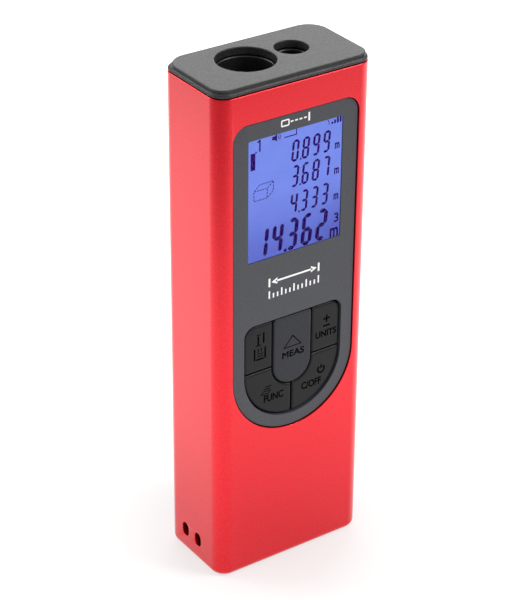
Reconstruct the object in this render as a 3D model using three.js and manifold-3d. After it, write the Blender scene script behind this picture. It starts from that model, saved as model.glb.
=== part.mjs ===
// Laser distance meter: a slim handheld instrument in an aluminium housing.
// Millimetres. X is the width, the front faces -Y, and +Z runs up to the optics.
// The origin is the middle of the flat base.
import * as THREE from 'three';
import { mergeVertices } from 'three/addons/utils/BufferGeometryUtils.js';
import Module from 'manifold-3d';

const wasm = await Module();
wasm.setup();

// ---- Driving dimensions -------------------------------------------------

// Housing: a drawn aluminium can, closed at the base and open at the top
const bodyWidth = 38.3;
const bodyDepth = 21.0;
const bodyHeight = 115.5;
const wall = 1.2;
const floorThickness = 1.5;
const cornerRadius = 3.5;
const baseRounding = 1.5;
const cornerSteps = 5;
const roundingSteps = 3;
const arcSteps = 8;            // half as many as the facets of a half circle

// Clearances
const panelGap = 0.2;        // between the housing's cut-out and the front panel
const windowGap = 0.1;       // between the panel and the display window
const keyGap = 0.28;         // between a key and the panel
const keySeparation = 0.3;   // between neighbouring keys
const doorGap = 0.25;        // between the battery door and its opening
const fit = 0.15;            // between pieces that locate in each other
const rest = 0.1;            // between faces that lie on each other
const slip = 0.3;            // between pieces that pass each other freely
const over = 1.0;            // how far a cutting tool reaches past what it cuts

// Front panel and its cut-out, which ends in a half circle round arcCentreZ
const cutoutHalf = 15.6;
const cutoutTop = 108.9;
const cutoutCorner = 3.5;
const arcCentreZ = 49.8;
const panelRecess = 0.3;
const panelThickness = 1.3;

// Display window in the panel
const windowHalf = 11.7;
const windowBottom = 77.2;
const windowTop = 105.0;
const windowCorner = 0.3;
const windowRecess = 0.1;
const windowLip = 0.3;         // thickness of the panel's lip in front of the flange
const windowFlange = 1.4;      // width of the flange behind the lip

// Keypad opening and keys
const keypadHalf = 12.55;
const keypadTop = 62.0;
const keypadCorner = 2.5;
const keyTopGap = 0.5;
const measureHalf = 4.85;
const separatorZ = 50.2;       // line between the upper and lower side keys
const keyCorner = 0.5;
const keyRecess = 0.35;        // side keys, below the panel's face
const measureRecess = 0.2;     // measuring key, below the panel's face
const keyThickness = 1.4;
const keyTravel = 0.5;
const stemRadius = 1.5;
const stemLength = 2.0;
const domeRadius = 2.1;
const domeHeight = 0.35;

// Keypad mat
const matThickness = 0.6;
const matBorder = 1.6;         // width of the mat beyond the keypad opening
const matRimStep = 0.4;        // the rim's inner edge, beyond the keypad opening

// Display stack
const lcdHalf = 13.3;
const lcdBottom = 74.4;
const lcdTop = 107.3;
const lcdThickness = 1.4;
const lcdCorner = 0.4;
const backlightThickness = 0.7;
const backlightHalf = 12.8;
const zebraHeight = 1.6;
const zebraHalf = 12.4;

// Front carrier, the moulding behind the panel
const carrierHalf = 16.2;
const carrierBottom = 32.6;
const carrierTop = 110.2;
const carrierCorner = 2.5;
const carrierStandoff = 0.9;   // from the carrier's back to the board

// Main board
const boardThickness = 1.0;
const boardHalf = 16.1;
const boardBottom = 30.0;
const boardTop = 76.5;
const boardCorner = 1.0;
const boardScrewX = 14.4;
const boardScrewLow = 31.9;
const boardScrewHigh = 73.2;

// Screws
const screwRadius = 0.7;
const screwHeadRadius = 1.3;
const screwHeadHeight = 0.7;
const screwHoleRadius = 0.9;
const screwLength = 2.6;
const slotWidth = 0.4;
const slotDepth = 0.3;
const bossRadius = 1.7;
const earBossRadius = 2.0;

// Batteries: two AAA cells side by side
const cellRadius = 5.25;
const cellBody = 43.6;
const cellBevel = 0.4;
const nubRadius = 1.9;
const nubHeight = 0.9;
const cellGap = 0.6;
const doorRelief = 0.4;        // between the cells and the door
const springHeight = 3.4;
const springWire = 0.5;
const springTurns = 3;
const springWide = 3.4;
const springNarrow = 2.4;
const contactThickness = 0.4;
const contactHalf = 4.2;

// Battery bay and chassis
const bayBottom = 13.5;
const bayWall = 1.0;
const bayEndWall = 1.5;
const midPlateThickness = 1.0;
const chassisSide = 1.0;
const chassisTop = 77.0;
const chassisBridge = 1.5;     // height of the plate above its window
const chassisLip = 0.7;        // the side walls reach this far in front of the board
const chassisRelief = 0.4;     // behind the chassis, to the back wall
const legWidth = 3.0;
const legBottom = 1.8;
const legDepth = 2.9;

// Battery door, in the back wall
const doorMargin = 1.5;        // from the posts' middle to the door's side edge
const doorOverhang = 2.6;      // beyond the battery bay at each end
const doorCorner = 2.5;
const postWidth = 0.8;
const postHeight = 4.0;
const postLength = 4.6;
const postEnd = 7.5;           // from the door's ends to the posts
const thumbRadius = 5.0;
const thumbDepth = 0.7;
const thumbHalf = 4.5;
const thumbInset = 3.2;

// Lanyard slots in the left wall
const slotPitch = 4.96;
const slotMiddleY = 0.87;
const slotZ = 5.7;
const lanyardWidth = 2.4;
const lanyardHeight = 3.35;
const lanyardRoundness = 0.98; // share of a full half circle at each end

// Top cap
const capSideGap = 0.12;       // step in from the housing's faces
const capBand = 0.8;           // height of the straight band
const capHeight = 1.75;        // plateau above the housing's rim
const capJoint = 0.12;         // shadow joint on the rim
const bevelSide = 0.4;         // share of the step in that the bevel's break has at the sides
const bevelFront = 0.4;        // and at the front
const bevelRise = 0.45;        // share of the bevel's height below its break
const plateauSide = 0.3;       // plateau's step in at the sides
const plateauFront = 0.5;      // and at the front
const plateauBack = 0.35;      // and at the back
const capBackEase = 1.5;       // extra rounding of the bevel's two corners at the back
const plateauRise = 0.25;      // plateau above the bead
const plateauStep = 0.05;      // step in over that rise
const grooveWidth = 0.12;
const grooveDepth = 0.1;
const skirtDepth = 3.0;
const skirtWall = 0.8;

// Optics: the receiver on the left and the laser on the right
const receiverX = -4.7;
const receiverY = 1.25;
const receiverRadius = 6.35;   // the cap's aperture
const laserX = 6.6;
const laserY = 1.3;
const laserRadius = 3.6;       // the cap's aperture
const barrelStep = 0.35;       // how much narrower a barrel is than its aperture
const barrelWall = 0.9;
const barrelRise = 0.2;        // barrels end this far below the rim
const lensDepth = 6.0;         // lens crown below the barrel's mouth
const lensCurve = 14.0;
const lensEdge = 1.4;
const lensSeat = 0.6;
const lensSteps = 4;
const ringHeight = 1.1;
const sensorZ = 85.0;          // lower end of the receiver tube
const sensorBore = 2.7;
const sensorRadius = 2.2;
const sensorHeight = 2.3;
const receiverBoardX = 7.0;    // half width
const receiverBoardFront = -4.5;
const receiverBoardBack = 5.6;
const receiverBoardThickness = 0.8;
const laserTubeBottom = 88.6;
const laserBarrelWall = 0.65;
const laserBarrelLow = 91.0;
const laserBarrelHigh = 108.0;
const collimatorZ = 105.0;
const collimatorEdge = 0.8;
const collimatorCurve = 4.2;
const diodeFlange = 1.2;
const diodeCan = 2.4;
const diodeCanRadius = 2.0;
const pinRadius = 0.25;
const pinLength = 2.0;
const pinCircle = 1.2;
const spineThickness = 2.6;
const spineBottom = 79.0;
const spineTop = 112.0;
const spineCorner = 1.0;
const earBottom = 65.8;
const earThickness = 1.4;
const earWidth = 3.0;
const earScrewZ = 69.0;
const webHalf = 0.9;

// Parts on the main board
const chipHeight = 0.8;
const partCorner = 0.3;
const flexThickness = 0.25;
const flexHalf = 3.0;
const flexTail = 1.5;          // how far a flex reaches down behind the board
const flexInset = 2.0;         // from the receiver board's front edge
const flexBend = 1.6;          // height of its slant over to the board
const buzzerRadius = 4.2;
const buzzerHeight = 2.4;
const buzzerPort = 0.85;
const buzzerX = -7.6;
const buzzerZ = 70.4;
const shieldHeight = 1.8;

// ---- Sizes that follow from them ---------------------------------------

const front = -bodyDepth / 2;
const back = bodyDepth / 2;
const side = bodyWidth / 2;
const innerSide = side - wall;
const innerBack = back - wall;
const panelFace = front + panelRecess;
const panelBack = panelFace + panelThickness;
const carrierFront = panelBack + rest;
const keyFace = panelFace + keyRecess;
const keyBack = keyFace + keyThickness;
const stemEnd = keyBack + stemLength;
const boardFront = stemEnd + keyTravel + rest + domeHeight;
const boardBack = boardFront + boardThickness;
const carrierBack = boardFront - carrierStandoff;
const chassisFront = boardFront - chassisLip;
const chassisBack = innerBack - chassisRelief;
const matFront = keyBack + keyTravel + rest;
const lcdFront = carrierFront;
const backlightFront = lcdFront + lcdThickness + 0.5 * rest;
const cellX = cellRadius + cellGap / 2;
const cellCentreY = innerBack - doorRelief - cellRadius;
const midPlateBack = cellCentreY - cellRadius - slip;
const midPlateFront = midPlateBack - midPlateThickness;
const bayHalf = cellX + cellRadius + fit;
const bayLength = cellBody + nubHeight + springHeight + 2 * contactThickness + 4 * rest;
const bayTop = bayBottom + bayLength;
const doorBottom = bayBottom - doorOverhang;
const doorTop = bayTop + doorOverhang;
const chassisHalf = innerSide - slip;
const postX = bayHalf + bayWall + slip + postWidth / 2;
const doorHalf = postX + doorMargin;
const earScrewX = chassisHalf - chassisSide - bossRadius;
const earFront = chassisBack - earThickness - screwHeadHeight - rest;
const spineFront = chassisBack - spineThickness;
const spineHalf = earScrewX + earWidth / 2;
const barrelTop = bodyHeight - barrelRise;
const receiverBore = receiverRadius - barrelStep;
const laserBore = laserRadius - barrelStep;
const lensRadius = receiverBore - rest;
const lensCrown = barrelTop - lensDepth;
const lensSag = lensCurve - Math.sqrt(lensCurve ** 2 - lensRadius ** 2);
const lensBase = lensCrown - lensSag - lensEdge;
const seatZ = lensBase - rest;
const ringInner = receiverBore - lensSeat;
const flexY = receiverBoardFront + flexInset;

// ---- Materials ---------------------------------------------------------

function finish(color, roughness, metalness) {
  return () => new THREE.MeshStandardMaterial({ color, roughness, metalness });
}
const anodisedRed = finish(0xd8303c, 0.42, 0.75);
const capPlastic = finish(0x5c5c60, 0.62, 0);
const panelPlastic = finish(0x4a4b50, 0.55, 0);
const keyRubber = finish(0x303136, 0.7, 0);
const clearAcrylic = finish(0xdfe6ff, 0.08, 0);
const displayGlass = finish(0x6f80e0, 0.2, 0);
const lightGuide = finish(0xf2f4ff, 0.4, 0);
const blackPlastic = finish(0x161618, 0.6, 0);
const greyRubber = finish(0x8a8c90, 0.8, 0);
const boardGreen = finish(0x1d5a3a, 0.5, 0);
const chipBlack = finish(0x1a1a1c, 0.5, 0);
const tinned = finish(0xc4c6c8, 0.35, 0.9);
const springSteel = finish(0xb8babd, 0.3, 1);
const opticalGlass = finish(0xcfe3ea, 0.05, 0);
const brass = finish(0xb99a4e, 0.35, 1);
const cellWrap = finish(0x2f5f8f, 0.4, 0.2);
const flexFilm = finish(0xb4762a, 0.5, 0);

// ---- Solid helpers -----------------------------------------------------

function toManifold(geometry) {
  const bare = geometry.clone();
  bare.deleteAttribute('normal');
  bare.deleteAttribute('uv');
  const merged = mergeVertices(bare);
  const vertProperties = new Float32Array(merged.attributes.position.array);
  const triVerts = new Uint32Array(merged.index.array);
  return new wasm.Manifold(new wasm.Mesh({ numProp: 3, vertProperties, triVerts }));
}

function fromManifold(manifold) {
  const mesh = manifold.getMesh();
  const geometry = new THREE.BufferGeometry();
  geometry.setAttribute('position', new THREE.BufferAttribute(mesh.vertProperties, 3));
  geometry.setIndex(new THREE.BufferAttribute(mesh.triVerts, 1));
  geometry.computeVertexNormals();
  return geometry;
}

function join(...pieces) {
  const total = pieces.map(toManifold).reduce((sum, piece) => sum.add(piece));
  return fromManifold(total);
}

function cut(geometry, ...tools) {
  const solids = tools.map(toManifold);
  return fromManifold(solids.reduce((left, tool) => left.subtract(tool), toManifold(geometry)));
}

function trim(geometry, envelope) {
  return fromManifold(toManifold(geometry).intersect(toManifold(envelope)));
}

// A box given by its lowest and highest corners
function block(x0, x1, y0, y1, z0, z1) {
  const geometry = new THREE.BoxGeometry(x1 - x0, y1 - y0, z1 - z0);
  return geometry.translate((x0 + x1) / 2, (y0 + y1) / 2, (z0 + z1) / 2);
}

function rodY(radius, y0, y1, x, z, sides = 20) {
  const geometry = new THREE.CylinderGeometry(radius, radius, y1 - y0, sides);
  return geometry.translate(x, (y0 + y1) / 2, z);
}

function rodZ(radius, z0, z1, x, y, sides = 32) {
  const geometry = new THREE.CylinderGeometry(radius, radius, z1 - z0, sides);
  return geometry.rotateX(Math.PI / 2).translate(x, y, (z0 + z1) / 2);
}

// A turned piece: the profile holds [radius, height] pairs and closes on itself or the axis
function turned(profile, x, y, sides = 32) {
  const points = profile.map(([radius, z]) => new THREE.Vector2(radius, z));
  return new THREE.LatheGeometry(points, sides).rotateX(Math.PI / 2).translate(x, y, 0);
}

// An outline in the front plane, x across and z up, made solid from yFront to yBack
function plate(shape, yFront, yBack, curveSegments = 3) {
  const depth = yBack - yFront;
  const geometry = new THREE.ExtrudeGeometry(shape, { depth, bevelEnabled: false, curveSegments });
  return geometry.rotateX(Math.PI / 2).translate(0, yBack, 0);
}

function roundedRect(x0, x1, z0, z1, radius) {
  const shape = new THREE.Shape();
  shape.moveTo(x0 + radius, z0);
  shape.lineTo(x1 - radius, z0);
  shape.absarc(x1 - radius, z0 + radius, radius, -Math.PI / 2, 0, false);
  shape.lineTo(x1, z1 - radius);
  shape.absarc(x1 - radius, z1 - radius, radius, 0, Math.PI / 2, false);
  shape.lineTo(x0 + radius, z1);
  shape.absarc(x0 + radius, z1 - radius, radius, Math.PI / 2, Math.PI, false);
  shape.lineTo(x0, z0 + radius);
  shape.absarc(x0 + radius, z0 + radius, radius, Math.PI, 1.5 * Math.PI, false);
  return shape;
}

// An upright outline with rounded upper corners and a half circle round arcCentreZ below
function shieldOutline(half, top, corner) {
  const shape = new THREE.Shape();
  shape.absarc(0, arcCentreZ, half, Math.PI, 2 * Math.PI, false);
  shape.lineTo(half, top - corner);
  shape.absarc(half - corner, top - corner, corner, 0, Math.PI / 2, false);
  shape.lineTo(corner - half, top);
  shape.absarc(corner - half, top - corner, corner, Math.PI / 2, Math.PI, false);
  shape.closePath();
  return shape;
}

// One level of a rounded box: a closed ring of points, anticlockwise from above
function ring(x0, x1, y0, y1, frontRadius, z, backRadius = frontRadius) {
  const centres = [[x1, y0, 1, -1], [x1, y1, 1, 1], [x0, y1, -1, 1], [x0, y0, -1, -1]];
  return centres.flatMap(([x, y, sx, sy], corner) => {
    const radius = sy > 0 ? backRadius : frontRadius;
    const points = [];
    for (let step = 0; step <= cornerSteps; step += 1) {
      const angle = (corner - 1 + step / cornerSteps) * (Math.PI / 2);
      const px = x - sx * radius + radius * Math.cos(angle);
      const py = y - sy * radius + radius * Math.sin(angle);
      points.push(new THREE.Vector3(px, py, z));
    }
    return points;
  });
}

// Joins rings into a closed solid with flat ends
function ringStack(rings) {
  const count = rings[0].length;
  const position = rings.flat().flatMap((point) => [point.x, point.y, point.z]);
  const index = [];
  for (let level = 0; level + 1 < rings.length; level += 1) {
    for (let i = 0; i < count; i += 1) {
      const low = level * count + i;
      const lowNext = level * count + ((i + 1) % count);
      index.push(low, lowNext, lowNext + count, low, lowNext + count, low + count);
    }
  }
  const last = (rings.length - 1) * count;
  for (let i = 1; i + 1 < count; i += 1) {
    index.push(0, i + 1, i, last, last + i, last + i + 1);
  }
  const geometry = new THREE.BufferGeometry();
  geometry.setAttribute('position', new THREE.Float32BufferAttribute(position, 3));
  geometry.setIndex(index);
  return geometry;
}

// A flat ribbon that follows [y, z] points and is even about the plane x = centre
function ribbon(points, thickness, centre, half) {
  const path = points.map(([y, z]) => new THREE.Vector2(y, z));
  const leftSide = [];
  const rightSide = [];
  path.forEach((point, i) => {
    const before = path[Math.max(i - 1, 0)];
    const after = path[Math.min(i + 1, path.length - 1)];
    const into = point.clone().sub(before).normalize();
    const out = after.clone().sub(point).normalize();
    if (i === 0) into.copy(out);
    if (i === path.length - 1) out.copy(into);
    const tangent = into.clone().add(out).normalize();
    const normal = new THREE.Vector2(-tangent.y, tangent.x);
    const reach = thickness / 2 / Math.max(tangent.dot(into), 0.5);
    leftSide.push(point.clone().addScaledVector(normal, reach));
    rightSide.unshift(point.clone().addScaledVector(normal, -reach));
  });
  const shape = new THREE.Shape([...leftSide, ...rightSide]);
  const geometry = new THREE.ExtrudeGeometry(shape, { depth: 2 * half, bevelEnabled: false });
  const turn = new THREE.Matrix4().makeBasis(
    new THREE.Vector3(0, 1, 0), new THREE.Vector3(0, 0, 1), new THREE.Vector3(1, 0, 0));
  return geometry.applyMatrix4(turn).translate(centre - half, 0, 0);
}

const instrument = new THREE.Group();

function place(name, geometry, material, x = 0, y = 0, z = 0, parent = instrument) {
  const mesh = new THREE.Mesh(geometry, material());
  mesh.name = name;
  mesh.position.set(x, y, z);
  parent.add(mesh);
  return mesh;
}

// The housing's inside less a running gap, from one height to another
function cavity(low, high) {
  const halfX = innerSide - slip;
  const halfY = innerBack - slip;
  const radius = cornerRadius - wall - slip;
  return ringStack([low, high].map((z) => ring(-halfX, halfX, -halfY, halfY, radius, z)));
}

// ---- Housing -----------------------------------------------------------

function makeHousing() {
  const rings = [];
  for (let step = 0; step <= roundingSteps; step += 1) {
    const angle = (step / roundingSteps) * (Math.PI / 2);
    const inset = baseRounding * (1 - Math.sin(angle));
    const z = baseRounding * (1 - Math.cos(angle));
    const radius = cornerRadius - inset;
    rings.push(ring(inset - side, side - inset, front + inset, back - inset, radius, z));
  }
  rings.push(ring(-side, side, front, back, cornerRadius, bodyHeight));
  const innerRadius = cornerRadius - wall;
  const hollow = ringStack([floorThickness, bodyHeight + wall].map(
    (z) => ring(-innerSide, innerSide, wall + front, innerBack, innerRadius, z)));
  const panelCut = plate(
    shieldOutline(cutoutHalf, cutoutTop, cutoutCorner), front - wall, front + 2 * wall, arcSteps);
  const doorShape = roundedRect(
    -doorHalf - doorGap, doorHalf + doorGap, doorBottom - doorGap, doorTop + doorGap,
    doorCorner + doorGap);
  const doorCut = plate(doorShape, back - 2 * wall, back + wall);
  const slots = [-1, 1].map((end) => makeLanyardSlot(slotMiddleY + (end * slotPitch) / 2));
  return cut(ringStack(rings), hollow, panelCut, doorCut, ...slots);
}

// An upright slot with round ends, through the left wall
function makeLanyardSlot(y) {
  const radius = lanyardWidth / 2;
  const half = lanyardHeight / 2;
  const shape = roundedRect(-radius, radius, -half, half, radius * lanyardRoundness);
  const settings = { depth: 3 * wall, bevelEnabled: false, curveSegments: 3 };
  const turn = new THREE.Matrix4().makeBasis(
    new THREE.Vector3(0, 1, 0), new THREE.Vector3(0, 0, 1), new THREE.Vector3(1, 0, 0));
  const geometry = new THREE.ExtrudeGeometry(shape, settings).applyMatrix4(turn);
  return geometry.translate(-side - wall, y, slotZ);
}

// ---- Top cap -----------------------------------------------------------

function capRing(sideStep, frontStep, backStep, z) {
  const radius = cornerRadius - sideStep;
  const backRadius = radius + (z > capBand ? capBackEase : 0);
  return ring(
    sideStep - side, side - sideStep, front + frontStep, back - backStep, radius, bodyHeight + z,
    backRadius);
}

function makeTopCap() {
  const gap = capSideGap;
  const beadTop = capHeight - plateauRise;
  const inner = grooveWidth;
  const cap = ringStack([
    capRing(gap, gap, gap, capJoint),
    capRing(gap, gap, gap, capBand),
    capRing(bevelSide * (gap + plateauSide), bevelFront * (gap + plateauFront),
      bevelSide * (gap + plateauBack), capBand + bevelRise * (beadTop - capBand)),
    capRing(plateauSide - inner, plateauFront - inner, plateauBack - inner / 4, beadTop),
    capRing(plateauSide - inner / 2, plateauFront - inner / 2, plateauBack - inner / 8,
      beadTop - grooveDepth),
    capRing(plateauSide, plateauFront, plateauBack, beadTop),
    capRing(plateauSide + plateauStep, plateauFront + plateauStep, plateauBack, capHeight),
  ]);
  const outer = innerSide - fit;
  const outerY = innerBack - fit;
  const radius = cornerRadius - wall;
  const low = bodyHeight - skirtDepth;
  const high = bodyHeight + 2 * capJoint;
  const skirt = cut(
    ringStack([low, high].map((z) => ring(-outer, outer, -outerY, outerY, radius, z))),
    ringStack([low - wall, high - capJoint].map((z) => ring(
      skirtWall - outer, outer - skirtWall, skirtWall - outerY, outerY - skirtWall,
      radius - skirtWall, z))),
    rodZ(receiverBore + barrelWall + fit, low - wall, bodyHeight, receiverX, receiverY, 32));
  const top = bodyHeight + 2 * capHeight;
  return cut(
    join(cap, skirt),
    rodZ(receiverRadius, low, top, receiverX, receiverY, 40),
    rodZ(laserRadius, low, top, laserX, laserY, 28));
}

// ---- Front panel and display window ------------------------------------

// The window's outline, let out on all sides by the extra given
function windowOutline(extra) {
  return roundedRect(
    -windowHalf - extra, windowHalf + extra, windowBottom - extra, windowTop + extra,
    windowCorner + Math.max(extra, 0));
}

function makeFrontPanel() {
  const outline = shieldOutline(
    cutoutHalf - panelGap, cutoutTop - panelGap, cutoutCorner - panelGap);
  return cut(
    plate(outline, panelFace, panelBack, arcSteps),
    plate(windowOutline(0), front, carrierFront, 1),
    plate(windowOutline(windowFlange + windowGap), panelFace + windowLip, carrierFront, 1),
    plate(shieldOutline(keypadHalf, keypadTop, keypadCorner), front, carrierFront, arcSteps));
}

function makeDisplayWindow() {
  return join(
    plate(windowOutline(-windowGap), panelFace + windowRecess, panelBack, 1),
    plate(windowOutline(windowFlange), panelFace + windowLip + windowGap, panelBack, 1));
}

// ---- Front carrier and display stack -----------------------------------

function makeFrontCarrier() {
  const outline = roundedRect(
    -carrierHalf, carrierHalf, carrierBottom, carrierTop, carrierCorner);
  const matHole = shieldOutline(
    keypadHalf + matBorder + fit, keypadTop + matBorder + fit, keypadCorner);
  const lcdHole = roundedRect(
    -lcdHalf - fit, lcdHalf + fit, lcdBottom - fit, lcdTop + fit, lcdCorner);
  const footZ = (keypadTop + lcdBottom) / 2;
  const feet = [-1, 1].map((end) => rodY(
    bossRadius, carrierBack - over, boardFront - rest, end * boardScrewX, footZ, 12));
  return join(
    cut(plate(outline, carrierFront, carrierBack),
      plate(matHole, front, boardFront, arcSteps), plate(lcdHole, front, boardFront, 1)),
    ...feet);
}

function addDisplayStack() {
  const lcd = block(
    -lcdHalf, lcdHalf, lcdFront, lcdFront + lcdThickness, lcdBottom, lcdTop);
  place('lcd_glass', lcd, displayGlass);
  const guide = block(
    -backlightHalf, backlightHalf, backlightFront, backlightFront + backlightThickness,
    lcdBottom + zebraHeight + 2 * slip, lcdTop - slip);
  place('lcd_backlight', guide, lightGuide);
  const zebraLow = lcdBottom + slip;
  const zebra = block(
    -zebraHalf, zebraHalf, backlightFront, boardFront - rest, zebraLow, zebraLow + zebraHeight);
  place('zebra_strip', zebra, greyRubber);
}

// ---- Keypad ------------------------------------------------------------

const keyOuter = keypadHalf - keyGap;
const keyTopZ = keypadTop - keyTopGap;
const keyInner = measureHalf + keySeparation;
const splitHalf = keySeparation / 2;
const sideKeyX = (keyInner + keyOuter) / 2;
const lowerKeyX = sideKeyX * Math.SQRT1_2;
const lowerKeyZ = arcCentreZ - lowerKeyX;
const upperKeyZ = (separatorZ + keyTopZ) / 2;

function measureOutline() {
  const shape = new THREE.Shape();
  shape.absarc(0, arcCentreZ, measureHalf, Math.PI, 2 * Math.PI, false);
  shape.lineTo(measureHalf, keyTopZ - keyCorner);
  shape.absarc(measureHalf - keyCorner, keyTopZ - keyCorner, keyCorner, 0, Math.PI / 2, false);
  shape.lineTo(keyCorner - measureHalf, keyTopZ);
  shape.absarc(
    keyCorner - measureHalf, keyTopZ - keyCorner, keyCorner, Math.PI / 2, Math.PI, false);
  shape.closePath();
  return shape;
}

// Upper side key on the right; its mirror image is the one on the left
function upperOutline() {
  const corner = keypadCorner - keyGap;
  const shape = new THREE.Shape();
  shape.moveTo(keyInner, separatorZ + splitHalf);
  shape.lineTo(keyOuter, separatorZ + splitHalf);
  shape.lineTo(keyOuter, keyTopZ - corner);
  shape.absarc(keyOuter - corner, keyTopZ - corner, corner, 0, Math.PI / 2, false);
  shape.lineTo(keyInner, keyTopZ);
  shape.closePath();
  return shape;
}

// Lower side key on the right: a quarter ring with a short straight top
function lowerOutline() {
  const outerEnd = -Math.acos(splitHalf / keyOuter);
  const innerEnd = -Math.acos(splitHalf / keyInner);
  const shape = new THREE.Shape();
  shape.moveTo(keyInner, separatorZ - splitHalf);
  shape.lineTo(keyInner, arcCentreZ);
  shape.absarc(0, arcCentreZ, keyInner, 0, innerEnd, true);
  shape.absarc(0, arcCentreZ, keyOuter, outerEnd, 0, false);
  shape.lineTo(keyOuter, separatorZ - splitHalf);
  shape.closePath();
  return shape;
}

function mirrored(shape) {
  const points = shape.getPoints(arcSteps).map((point) => new THREE.Vector2(-point.x, point.y));
  return new THREE.Shape(points.reverse());
}

const keys = [
  { name: 'measure', shape: measureOutline(), x: 0, z: upperKeyZ, recess: measureRecess },
  { name: 'reference', shape: mirrored(upperOutline()), x: -sideKeyX, z: upperKeyZ },
  { name: 'units', shape: upperOutline(), x: sideKeyX, z: upperKeyZ },
  { name: 'function', shape: mirrored(lowerOutline()), x: -lowerKeyX, z: lowerKeyZ },
  { name: 'clear_off', shape: lowerOutline(), x: lowerKeyX, z: lowerKeyZ },
];

function addKeys() {
  for (const { name, shape, x, z, recess = keyRecess } of keys) {
    const cap = plate(shape, panelFace + recess, keyBack, arcSteps);
    const stem = rodY(stemRadius, keyBack - rest, stemEnd, x, z, 12);
    place(`key_${name}`, join(cap, stem), keyRubber);
  }
}

// Snap domes on the board, one below each stem and clear of its travel
function addSnapDomes() {
  const profile = [new THREE.Vector2(0, 0), new THREE.Vector2(domeRadius, 0)];
  const steps = 3;
  for (let step = 1; step <= steps; step += 1) {
    const angle = (step / steps) * (Math.PI / 2);
    profile.push(new THREE.Vector2(
      step === steps ? 0 : domeRadius * Math.cos(angle), domeHeight * Math.sin(angle)));
  }
  for (const { name, x, z } of keys) {
    const dome = new THREE.LatheGeometry(profile, 12).rotateX(Math.PI);
    place(`dome_${name}`, dome, springSteel, x, boardFront, z);
  }
}

function makeKeypadMat() {
  const half = keypadHalf + matBorder;
  const outline = shieldOutline(half, keypadTop + matBorder, keypadCorner - fit);
  const well = shieldOutline(
    keypadHalf + matRimStep, keypadTop + matRimStep, keypadCorner + matRimStep);
  const holes = keys.map(({ x, z }) => rodY(
    stemRadius + slip, matFront - over, matFront + matThickness + over, x, z, 12));
  return cut(
    plate(outline, carrierFront, matFront + matThickness, arcSteps),
    plate(well, front, matFront, arcSteps), ...holes);
}

// ---- Main board and what it carries ------------------------------------

const boardScrews = [
  ['lower_left', -boardScrewX, boardScrewLow], ['lower_right', boardScrewX, boardScrewLow],
  ['upper_left', -boardScrewX, boardScrewHigh], ['upper_right', boardScrewX, boardScrewHigh],
];

function makeMainBoard() {
  const outline = roundedRect(-boardHalf, boardHalf, boardBottom, boardTop, boardCorner);
  const holes = boardScrews.map(([, x, z]) => rodY(
    screwHoleRadius, boardFront - over, boardBack + over, x, z, 10));
  return cut(plate(outline, boardFront, boardBack, 1), ...holes);
}

// Flat parts on the back of the board, each given by its middle and its half sizes
const flatParts = [
  { name: 'controller_chip', x: 0, z: 46.5, halfX: 4.5, halfZ: 4.5, height: chipHeight },
  { name: 'memory_chip', x: -9.5, z: 41.0, halfX: 2.6, halfZ: 2.0, height: chipHeight },
  { name: 'crystal', x: 9.0, z: 47.5, halfX: 1.6, halfZ: 1.25, height: chipHeight, metal: true },
  { name: 'shield_can', x: 5.6, z: 68.4, halfX: 5.4, halfZ: 2.4, height: shieldHeight, metal: true },
];

function addBoardParts() {
  for (const { name, x, z, halfX, halfZ, height, metal } of flatParts) {
    const shape = roundedRect(-halfX, halfX, -halfZ, halfZ, partCorner);
    place(name, plate(shape, 0, height, 1), metal ? tinned : chipBlack, x, boardBack, z);
  }
  const sound = cut(
    rodY(buzzerRadius, 0, buzzerHeight, 0, 0, 20),
    rodY(buzzerPort, buzzerHeight / 2, buzzerHeight + wall, 0, 0, 8));
  place('buzzer', sound, blackPlastic, buzzerX, boardBack, buzzerZ);
}

// Screws stand along Y with the head at local y = 0 on the side that outward gives
function makeScrew() {
  const head = rodY(screwHeadRadius, -screwHeadHeight, 0, 0, 0, 12);
  const shank = rodY(screwRadius, -screwHeadHeight / 2, screwLength, 0, 0, 8);
  const slot = block(
    -2 * screwHeadRadius, 2 * screwHeadRadius, -2 * screwHeadHeight,
    slotDepth - screwHeadHeight, -slotWidth / 2, slotWidth / 2);
  return cut(join(head, shank), slot);
}

function addScrews() {
  for (const [name, x, z] of boardScrews) {
    place(`board_screw_${name}`, makeScrew(), springSteel, x, boardFront - rest, z);
  }
  for (const [name, end] of [['left', -1], ['right', 1]]) {
    const screw = place(`optics_screw_${name}`, makeScrew(), springSteel,
      end * earScrewX, earFront + earThickness + rest, earScrewZ);
    screw.rotation.z = Math.PI;
  }
}

// ---- Chassis with the battery bay --------------------------------------

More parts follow.
